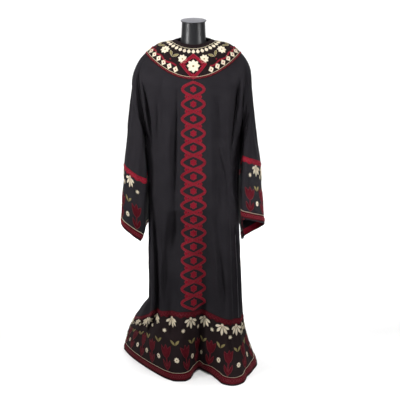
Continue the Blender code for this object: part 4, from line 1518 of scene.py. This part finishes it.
def gloss_material():
    """Polished black shell of the form, with faint ripples and a few dull rubs."""
    net = Net("form_gloss", 0.12, **{
        "Base Color": (0.020, 0.020, 0.022, 1.0),
        "Specular IOR Level": 0.42,
    })
    rough = net.ramp(net.noise(34.0, 5.0, 0.65), (0.35, grey(0.30)), (0.75, grey(0.40)))
    return net.finished(None, net.bump(net.noise(9.0, 2.0, 0.4), 0.08, 0.01), rough)


def cap_material():
    net = Net("cap_satin", 0.40)
    grain = net.noise(220.0, 4.0, 0.6)
    tone = net.blend(grain, 0.3, net.noise(18.0, 3.0, 0.6), 0.7)
    color = net.ramp(tone, (0.3, (0.17, 0.168, 0.19)), (0.7, (0.24, 0.238, 0.27)))
    return net.finished(color, net.bump(grain, 0.15, 0.0003))


def steel_material():
    """Powder coat with a fine peel, worn paler in patches."""
    net = Net("stand_powder_coat", 0.42)
    wear = net.noise(24.0, 6.0, 0.7)
    color = net.ramp(wear, (0.35, (0.030, 0.030, 0.034)), (0.75, (0.060, 0.060, 0.064)))
    return net.finished(color, net.bump(net.noise(700.0, 2.0, 0.5), 0.35, 0.0003))


def floor_material():
    net = Net("pale_floor", 0.9)
    return net.finished(net.ramp(net.noise(3.0, 2.0, 0.5), (0.2, grey(0.93)), (0.8, grey(0.96))))


# Looks of the ornament pieces whose names say something else
LOOK_OF = {
    "wine_border": "wine",
    "column_crimson": "crimson",
    "column_red_cords": "red",
    "red_cords": "red",
    "wine_cords": "dull",
    "pale_cords": "pale",
    "facing": "crimson",
    "tape": "red",
    "side_seam": "seam",
}


def start_parts(piece, looks, *names):
    """Empty ornament pieces for one piece of cloth."""
    return [Applique(piece + "_" + name, looks[LOOK_OF.get(name, name)]) for name in names]


def lay_outlined(applique, cords, cloth, row, column, motif, radius, lift=CORD_LIFT, **how):
    """Lay a motif, and cords along all its edges."""
    rows, columns = applique.stamp(cloth, row, column, motif, **how)
    for run in motif.chains:
        cords.cord(cloth, rows[run], columns[run], radius, lift, closed=True)


def lay_border(applique, cloth, border, top=False):
    """A border along the lower edge, or below the upper edge, of a hem or cuff."""
    columns = np.arange(cloth.columns, dtype=float)
    lengths = cloth.row_lengths(cloth.rows // 2)
    ripple = border.wave * np.sin(2 * np.pi * lengths / border.period)
    upper, lower = border.high + ripple, border.low
    if top:
        full = cloth.full_lengths(columns)
        upper, lower = full - border.low, full - border.high + ripple
    shares = np.linspace(0, 1, BORDER_LINES)[:, None]
    heights = upper + (lower - upper) * shares
    rows = np.array([cloth.rows_above_edge(columns, line) for line in heights])
    applique.ribbon(cloth, rows, np.repeat(columns[None], BORDER_LINES, axis=0))


def faces_body(name, cloth, column):
    """Whether a cuff's column lies on the face that hangs against the body."""
    _, normal = cloth.at(np.array([cloth.rows / 2]), np.array([column]))
    return name.startswith("cuff") and normal[0, 0] * (1 if name.endswith("left") else -1) > INWARD


def lay_hem_or_cuff(name, cloth, looks):
    """Borders, tulips, palmettes and stars on one band."""
    parts = start_parts(
        name, looks, "crimson", "wine_border", "cream", "olive", "red_cords", "wine_cords",
        "pale_cords",
    )
    crimson, wine, cream, olive, red_cords, wine_cords, pale_cords = parts
    hem = name.startswith("hem")
    # The hem's top border is dark wine where a cuff's is crimson: partly the band's own colour,
    # partly painted shade of the low hem
    lay_border(wine if hem else crimson, cloth, TOP_BORDER, top=True)
    lay_border(wine, cloth, EDGE_BORDER)
    columns = np.linspace(0, cloth.columns - 1, cloth.columns * 2 - 1)
    lengths = np.interp(columns, cloth.every_column, cloth.row_lengths(cloth.rows // 2))
    full = cloth.full_lengths(columns)

    def line(applique, heights, radius, base=0.0, every=1):
        rows = cloth.rows_above_edge(columns[::every], heights[::every])
        applique.cord(cloth, rows, columns[::every], radius, base)

    def waves(height, length):
        return height * np.sin(2 * np.pi * lengths / length)

    line(pale_cords, np.full(len(columns), PALE_LINE), CORD_PLAIN if hem else CORD_SEAM, every=2)
    # Wine thread on the hem and red on a cuff: the darker wine is partly painted shade of the low
    # hem
    line_cords_shaded_on_hem = wine_cords if hem else red_cords
    line(line_cords_shaded_on_hem, full - TOP_WAVE_DEPTH + waves(*TOP_LINE_WAVE), CORD_FIRM, TRIM)
    for side in (1, -1):
        line(line_cords_shaded_on_hem, EDGE_WAVE_HEIGHT + side * waves(*EDGE_LINE_WAVE), CORD_FIRM, TRIM)

    total = lengths[-1]
    count = max(3, round(total / TULIP_SPACING))
    for k in range(2 * count):
        length = total * (k / 2 + 0.25) / count
        column = cloth.column_at(length)
        if faces_body(name, cloth, column):
            continue
        tall = cloth.column_lengths(column)[-1]
        field = tall - FIELD_TOP - FIELD_BOTTOM
        if k % 2 == 0:
            height = min(TULIP_MOST, field * TULIP_SHARE)
            row = cloth.row_above_edge(column, MOTIF_FOOT)
            size = height / TULIP_HEIGHT
            lay_outlined(wine, wine_cords, cloth, row, column, TULIP, CORD_PLAIN, size=size)
            if field - height > STAR_ROOM:
                above = MOTIF_FOOT + height + (field - height) * 0.5
                row = cloth.row_above_edge(column, above)
                lay_outlined(cream, pale_cords, cloth, row, column, STAR, CORD_THIN)
            continue
        row = cloth.row_above_edge(column, tall - PALMETTE_DEPTH)
        beside = [cloth.column_at(length + side * total / count / 2) for side in (-1, 1)]
        room = abs(np.diff(np.interp(beside, cloth.every_column, cloth.row_lengths(row))))[0]
        height = min(PALMETTE_MOST, field * PALMETTE_FIELD_SHARE, room * PALMETTE_ROOM_SHARE)
        size = height / PALMETTE_HEIGHT
        lay_outlined(
            cream, pale_cords, cloth, row, column, PALMETTE, CORD_FINE, turn=math.pi, size=size
        )
        row = cloth.row_above_edge(column, MOTIF_FOOT + field * FLOWER_SHARE)
        lay_outlined(cream, pale_cords, cloth, row, column, SMALL_FLOWER, CORD_THIN)
        olive.stamp(cloth, row, column, BUD, base=TRIM)
        row = cloth.row_above_edge(column, MOTIF_FOOT + field * LEAF_SHARE)
        for side in (-1, 1):
            olive.stamp(cloth, row, column, LEAF, turn=side * -BAND_LEAF_TURN, flip=side)
    return [part.build() for part in parts if part.points]


def lay_inside(name, cloth, looks):
    """The facing of a cuff's lower edge, and the tape that binds its top."""
    parts = start_parts(name, looks, "facing", "tape")
    for part, border in zip(parts, (FACING_BORDER, TAPE_BORDER)):
        lay_border(part, cloth, border)
    return [part.build() for part in parts]


def lay_side_seam(cloth, looks):
    """A narrow raised seam that runs down the front near its right side, pale grey as a painted
    highlight.
    """
    seam, = start_parts("front", looks, "side_seam")
    heights = cloth.skin[:, SIDE_SEAM_GUIDE, 2]
    top = float(np.interp(-SIDE_SEAM_TOP, -heights, cloth.every_row))
    column = float(np.interp(SIDE_SEAM, cloth.skin[int(top), :, 0], cloth.every_column))
    rows = np.linspace(top, cloth.rows - 1, SIDE_SEAM_POINTS)
    seam.cord(cloth, rows, np.full(SIDE_SEAM_POINTS, column), CORD_SEAM)
    return seam.build()


def lay_yoke(cloth, angles, looks):
    """Rings, drops, flowers, lozenges and the medallion of the yoke."""
    parts = start_parts(
        "yoke", looks, "crimson", "wine", "cream", "olive", "red_cords", "pale_cords"
    )
    crimson, wine, cream, olive, red_cords, pale_cords = parts
    turn_columns = np.arange(len(angles)) + cloth.wrap
    front_column = float(np.interp(0.0, angles, turn_columns))

    def ring(start, stop, share, wave, waves, gap):
        """Rows and columns round the yoke, at a share of the way between two places."""
        last = front_column + len(angles) - 1 - gap
        columns = np.linspace(front_column + gap, last, RING_POINTS)
        columns = np.where(columns > turn_columns[-1], columns - (len(angles) - 1), columns)
        rows = []
        for column, t in zip(columns, np.linspace(0, 1, RING_POINTS)):
            lengths = cloth.column_lengths(column)
            near, far = (lengths[-1] * place.share + place.out for place in (start, stop))
            at = near + (far - near) * share + wave * math.sin(2 * math.pi * waves * t)
            rows.append(np.interp(at, lengths, cloth.every_row))
        return np.array(rows), columns

    def strip(applique, start, stop, wave=0.0, waves=0, gap=0.0):
        shares = np.linspace(0, 1, STRIP_LINES)
        lines = [ring(start, stop, share, wave, waves, gap) for share in shares]
        applique.ribbon(cloth, *(np.stack(part) for part in zip(*lines)))

    def loop(applique, place, radius, wave=0.0, waves=0, gap=0.0, base=0.0):
        applique.cord(cloth, *ring(place, place, 0.0, wave, waves, gap), radius, base)

    strip(wine, *WINE_STRIP)
    strip(crimson, *CRIMSON_STRIP, *CRIMSON_WAVES, MEDALLION_GAP)
    loop(pale_cords, INNER_RING, CORD_RING)
    loop(red_cords, CRIMSON_RING, CORD_PLAIN, *CRIMSON_WAVES, MEDALLION_GAP, TRIM)
    loop(pale_cords, OUTER_RING, CORD_RING)
    loop(red_cords, WINE_RING, CORD_FIRM, *WINE_WAVES, base=TRIM)

    def round_places(share, count, offset=0.0):
        """Columns at even lengths round the yoke, and how far each is from the front's middle."""
        widths = cloth.row_lengths(share * (cloth.rows - 1))
        middle = np.interp(front_column, cloth.every_column, widths)
        last = widths[cloth.wrap + len(angles) - 1]
        full = last - widths[cloth.wrap]
        for k in range(count):
            away = full * (k + offset) / count
            length = middle + away
            if length > last:
                length -= full
            yield float(np.interp(length, widths, cloth.every_column)), min(away, full - away)

    for column, away in round_places(*DROPS):
        row = cloth.row_below_top(column, DROP_DEPTH)
        lay_outlined(cream, pale_cords, cloth, row, column, DROP, CORD_HAIR, turn=math.pi)
    row = FLOWER_ROW_SHARE * (cloth.rows - 1)
    for k, (column, away) in enumerate(round_places(*FLOWERS)):
        if away < PLAIN_FRONT_HALF:
            continue
        if k % 2:
            lay_outlined(cream, pale_cords, cloth, row, column, YOKE_FLOWER, CORD_FINE)
            olive.stamp(cloth, row, column, BUD, base=TRIM)
            continue
        for side in (-1, 1):
            how = {"turn": side * -YOKE_LEAF_TURN, "flip": side}
            lay_outlined(olive, pale_cords, cloth, row + LEAF_ROWS, column, LEAF, CORD_HAIR, **how)
        crimson.stamp(cloth, row + BUD_ROWS, column, BUD)
    for column, away in round_places(*LOZENGES):
        if away < PLAIN_FRONT_EDGE:
            continue
        row = cloth.row_above_edge(column, LOZENGE_HEIGHT)
        lay_outlined(cream, pale_cords, cloth, row, column, YOKE_LOZENGE, CORD_FINE)
        crimson.stamp(cloth, row, column, BUD, size=LOZENGE_BUD, base=TRIM)

    full = cloth.column_lengths(front_column)[-1]
    place = (cloth, cloth.row_below_top(front_column, full * MEDALLION_SHARE), front_column)
    for applique, cords, motif, radius in (
        (crimson, red_cords, MEDALLION_FRAME, CORD_STOUT),
        (cream, pale_cords, MEDALLION_FLOWER, CORD_PLAIN),
    ):
        how = {"lift": MEDALLION_CORD_LIFT, "base": MEDALLION_BASE}
        lay_outlined(applique, cords, *place, motif, radius, **how)
    olive.stamp(*place, BUD, size=MEDALLION_BUD, base=MEDALLION_BUD_BASE)
    for k in range(4):
        crimson.stamp(*place, MEDALLION_PETAL, turn=math.pi / 2 * k)
    return [part.build() for part in parts]


def lay_column(cloth, looks):
    """Two winding crimson bands down the front, with a flower in every eye between them."""
    parts = start_parts("front", looks, "column_crimson", "column_red_cords")
    crimson, red_cords = parts
    column = float(np.interp(0.0, cloth.skin[0, :, 0], cloth.every_column))
    full = cloth.column_lengths(column)[-1] - COLUMN_START - COLUMN_STOP
    half_wave = full / COLUMN_EYES
    start = cloth.row_below_top(column, COLUMN_START)
    loops, centres = zip(*(wave_loop(full, half_wave, phase) for phase in (0.0, math.pi)))
    bands = Motif(loops, step=0.0060)
    lay_outlined(crimson, red_cords, cloth, start, column, bands, CORD_FIRM)
    for centre in centres:
        red_cords.cord(cloth, *cloth.lay(start, column, centre), CORD_PLAIN, TRIM)
    for k in range(COLUMN_EYES):
        reach = COLUMN_REACH[0] + (COLUMN_REACH[1] - COLUMN_REACH[0]) * (k + 0.5) / COLUMN_EYES
        row = cloth.row_below_top(column, COLUMN_START + half_wave * (k + 0.5))
        size = reach / COLUMN_REACH[1]
        lay_outlined(crimson, red_cords, cloth, row, column, EYE_FLOWER, CORD_PLAIN, size=size)
        if k == COLUMN_EYES - 1:
            break
        row = cloth.row_below_top(column, COLUMN_START + half_wave * (k + 1))
        for side in (-1, 1):
            aside = np.array([[side * WAIST_AWAY * size, 0.0]])
            (i,), (j,) = cloth.lay(row, column, aside)
            lay_outlined(crimson, red_cords, cloth, i, j, WAIST_LOZENGE, CORD_FINE, size=size)
    return [part.build() for part in parts]


TULIP = Motif(tulip(TULIP_HEIGHT))
PALMETTE = Motif(palmette(PALMETTE_HEIGHT))
STAR = Motif(star(0.0105), step=0.004)
SMALL_FLOWER = Motif(flower(0.0122), step=0.004)
YOKE_FLOWER = Motif(flower(0.0205), step=0.004)
LEAF = Motif([petal(0.030, 0.0115, 0.0, 0.006, 0.004)], step=0.004)
BUD = Motif([disc(0.0034)], step=0.003)
DROP = Motif([petal(0.0200, 0.0150, 0.0, belly=0.58)], step=0.004)
YOKE_LOZENGE = Motif([lozenge(0.024, 0.028)], step=0.004)
MEDALLION_FRAME = Motif([lozenge(0.122, 0.116)], [lozenge(0.088, 0.084)])
MEDALLION_FLOWER = Motif(flower(0.0285), step=0.004)
MEDALLION_PETAL = Motif([petal(0.011, 0.007, 0.0, start=0.030)], step=0.003)
EYE_FLOWER = Motif(flower(0.0175, 6, 0.62), step=0.004)
WAIST_LOZENGE = Motif([lozenge(0.018, 0.030)], step=0.004)

# Kinds of material, and for each name its dark and its light colour
LOOKS = (
    (cloth_material, "crepe", "black_crepe", (0.0150, 0.0138, 0.0165), (0.0240, 0.0220, 0.0255)),
    (cloth_material, "band", "band_crepe", (0.0130, 0.0085, 0.0092), (0.0200, 0.0132, 0.0142)),
    (cloth_material, "lining", "black_lining", (0.0100, 0.0092, 0.0105), (0.0170, 0.0155, 0.0170),
     LINING_WEAVE, LINING_SHEEN),
    (felt_material, "crimson", "crimson_felt", (0.175, 0.0080, 0.0180), (0.275, 0.0135, 0.0290)),
    (felt_material, "wine", "wine_felt", (0.060, 0.0050, 0.0090), (0.098, 0.0085, 0.0140)),
    (felt_material, "cream", "cream_felt", (0.680, 0.600, 0.470), (0.860, 0.780, 0.630)),
    (felt_material, "olive", "olive_felt", (0.150, 0.125, 0.045), (0.290, 0.240, 0.110)),
    (thread_material, "red", "red_thread", (0.180, 0.0110, 0.0200), (0.310, 0.0300, 0.0420)),
    (thread_material, "dull", "wine_thread", (0.100, 0.0075, 0.0130), (0.170, 0.0150, 0.0230)),
    # The side seam's thread is pale grey: a painted highlight where the raised seam catches the
    # light
    (thread_material, "seam", "seam_thread_painted_highlight", (0.070, 0.064, 0.072), (0.130, 0.120, 0.135)),
    (thread_material, "pale", "pale_thread", (0.450, 0.380, 0.250), (0.680, 0.600, 0.430)),
)
looks = {key: make(name, *values) for make, key, name, *values in LOOKS}

grids, yoke_angles = robe_grids()
shared = edge_places(grids)
grids = creased(grids, shared)
normals, reach = normals_of(grids, shared)
pieces = {}
cloths = {}
insides = {}
for name, grid in grids.items():
    lean = normals[name] * reach[name][..., None] * CLOTH / 2
    outer = grid + lean
    inner = grid - lean
    for skin in (outer, inner):
        skin[..., 2] = np.maximum(skin[..., 2], FLOOR_GAP)
    yoke = name == "yoke"
    slot = "trim" if name.startswith(("yoke", "hem", "cuff")) else "robe"
    look = looks["band" if name.startswith(("yoke", "hem")) else "crepe"]
    pieces[name] = wall(name + "_cloth", outer, inner, yoke, [look, looks["lining"]], slot)
    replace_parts(pieces[name], name)
    start = NECK_EDGE_ROWS if yoke else 0
    cloths[name] = Cloth(outer[start:], normals[name][start:], yoke)
    insides[name] = Cloth(inner, -normals[name])

ornament = {name: [] for name in grids}
for name in ("hem_front", "hem_back", "cuff_left", "cuff_right"):
    ornament[name] = lay_hem_or_cuff(name, cloths[name], looks)
for name in ("cuff_left", "cuff_right"):
    ornament[name] += lay_inside(name, insides[name], looks)
ornament["yoke"] = lay_yoke(cloths["yoke"], yoke_angles, looks)
ornament["front"] = lay_column(cloths["front"], looks) + [lay_side_seam(cloths["front"], looks)]

for name, piece in pieces.items():
    cut = CUTS[name]
    list(cut.rests_on)
    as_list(ornament[name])


def lathe_faces(rows, columns):
    """Quads between rings of points, then fans to a point above the first and below the last."""
    faces = []
    last = (rows - 1) * columns
    for i in range(0, last, columns):
        for j in range(columns):
            k = (j + 1) % columns
            faces.append((i + j, i + columns + j, i + columns + k, i + k))
    for j in range(columns):
        k = (j + 1) % columns
        faces.append((j, k, last + columns))
        faces.append((last + k, last + j, last + columns + 1))
    return faces


def fine_form(material):
    """The form's rings carried on in smooth curves."""
    rings = np.stack(form_rings())
    last = len(rings) - 1
    dense = []
    for k in range(last):
        corners = [rings[min(max(n, 0), last)] for n in (k - 1, k, k + 1, k + 2)]
        dense += [spline(*corners, t) for t in np.arange(FORM_STEPS) / FORM_STEPS]
    dense.append(rings[-1])
    ends = [dense[0].mean(axis=0)[None], dense[-1].mean(axis=0)[None]]
    faces = lathe_faces(len(dense), FORM_COLUMNS)
    return mesh_object("form_shell", np.concatenate(dense + ends), faces, [material], slot="form")


def fine_cap(satin, rim):
    """The neck's flat cap, its edge rounded, with a dark rim."""
    half = CAP_THICKNESS / 2
    profile = (
        (CAP_RADIUS - 0.0022, half),
        (CAP_RADIUS - 0.0010, half - 0.0003),
        (CAP_RADIUS - 0.0002, half - 0.0011),
        (CAP_RADIUS, 0.0),
        (CAP_RADIUS - 0.0002, 0.0011 - half),
        (CAP_RADIUS - 0.0012, -half),
    )
    angle = np.arange(CAP_COLUMNS) * 2 * np.pi / CAP_COLUMNS
    rings = [stack(radius * np.cos(angle), radius * np.sin(angle), z) for radius, z in profile]
    x, y, z = np.concatenate(rings + [np.array([[0, 0, half], [0, 0, -half]])]).T
    tilt = math.atan(NECK_TILT)
    points = stack(
        x,
        y * math.cos(tilt) - z * math.sin(tilt),
        y * math.sin(tilt) + z * math.cos(tilt) + (NECK_TOP + FORM_GAP + half),
    )
    kinds = [0] * CAP_COLUMNS + [1] * CAP_COLUMNS * (len(rings) - 2) + [0, 1] * CAP_COLUMNS
    faces = lathe_faces(len(rings), CAP_COLUMNS)
    return mesh_object("form_cap_disc", points, faces, [satin, rim], indices=kinds, slot="cap")


gloss = gloss_material()
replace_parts(fine_form(gloss), "form_torso")
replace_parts(fine_cap(cap_material(), gloss), "form_cap")
steel = steel_material()
for name in ("form_pole", "form_base"):
    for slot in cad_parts[name].material_slots:
        slot.material = steel


def stage():
    """A plain pale floor that curves up far behind."""
    profile = [(FLOOR_FRONT, 0.0), (FLOOR_BACK - FLOOR_BEND, 0.0)]
    for k in range(1, BEND_STEPS + 1):
        angle = math.pi / 2 * k / BEND_STEPS
        y = FLOOR_BACK - FLOOR_BEND + FLOOR_BEND * math.sin(angle)
        profile.append((y, FLOOR_BEND - FLOOR_BEND * math.cos(angle)))
    profile.append((FLOOR_BACK, FLOOR_RISE))
    points = [(x, y, z - FLOOR_DROP) for y, z in profile for x in (-FLOOR_HALF, FLOOR_HALF)]
    faces = [(2 * k, 2 * k + 1, 2 * k + 3, 2 * k + 2) for k in range(len(profile) - 1)]
    data = bpy.data.meshes.new("studio_floor")
    data.from_pydata(points, [], faces)
    data.materials.append(floor_material())
    data.shade_smooth()
    floor = bpy.data.objects.new("studio_floor", data)
    bpy.context.scene.collection.objects.link(floor)
    # The floor casts no light back, so the skirt darkens towards it
    floor.visible_diffuse = False


def softbox(name, place, aim, width, height, power, spread):
    light = bpy.data.lights.new(name, "AREA")
    light.shape = "RECTANGLE"
    light.size = width
    light.size_y = height
    light.energy = power
    light.spread = math.radians(spread)
    item = bpy.data.objects.new(name, light)
    item.location = place
    item.rotation_euler = (Vector(aim) - Vector(place)).to_track_quat("-Z", "Y").to_euler()
    bpy.context.scene.collection.objects.link(item)
    return item


stage()
softbox("key", (-2.5, -1.6, 2.0), (0.0, 0.0, 1.02), 0.6, 1.4, 7.6, 50)
softbox("cuff_fill", (1.6, -2.2, 0.55), (0.27, 0.0, 0.80), 0.3, 0.3, 0.30, 12)
softbox("side_right", (2.5, -1.5, 2.1), (0.0, 0.0, 1.05), 0.6, 1.4, 4.6, 50)
front_light = softbox("front", (-0.5, -3.4, 2.2), (0.0, 0.0, 1.35), 0.6, 0.6, 2.5, 30)
# Unseen in the gloss of the neck, which shows only the two lights at the sides
front_light.visible_glossy = False
softbox("floor_front", (0.0, -1.8, 3.0), (0.0, -1.15, 0.0), 2.4, 0.6, 20, 50)
softbox("floor_back", (0.0, 2.2, 4.8), (0.0, 1.9, 0.0), 3.2, 2.4, 48, 78)
for side in (-1, 1):
    softbox("wall_wash", (side * 3.0, 2.6, 4.4), (side * 1.8, 6.6, 1.0), 3.0, 1.2, 280, 180)
world = bpy.data.worlds.new("studio")
world.use_nodes = True
background = world.node_tree.nodes["Background"].inputs
background["Color"].default_value = (1.0, 1.0, 1.0, 1.0)
background["Strength"].default_value = WORLD_STRENGTH
bpy.context.scene.world = world
bpy.context.scene.view_settings.view_transform = "Standard"

camera = bpy.data.objects.new("camera", bpy.data.cameras.new("camera"))
camera.data.sensor_width = CAMERA_SENSOR
camera.data.lens = CAMERA_LENS
camera.location = CAMERA_PLACE
camera.rotation_euler = (math.radians(90) - CAMERA_PITCH, 0.0, 0.0)
bpy.context.scene.collection.objects.link(camera)
bpy.context.scene.camera = camera
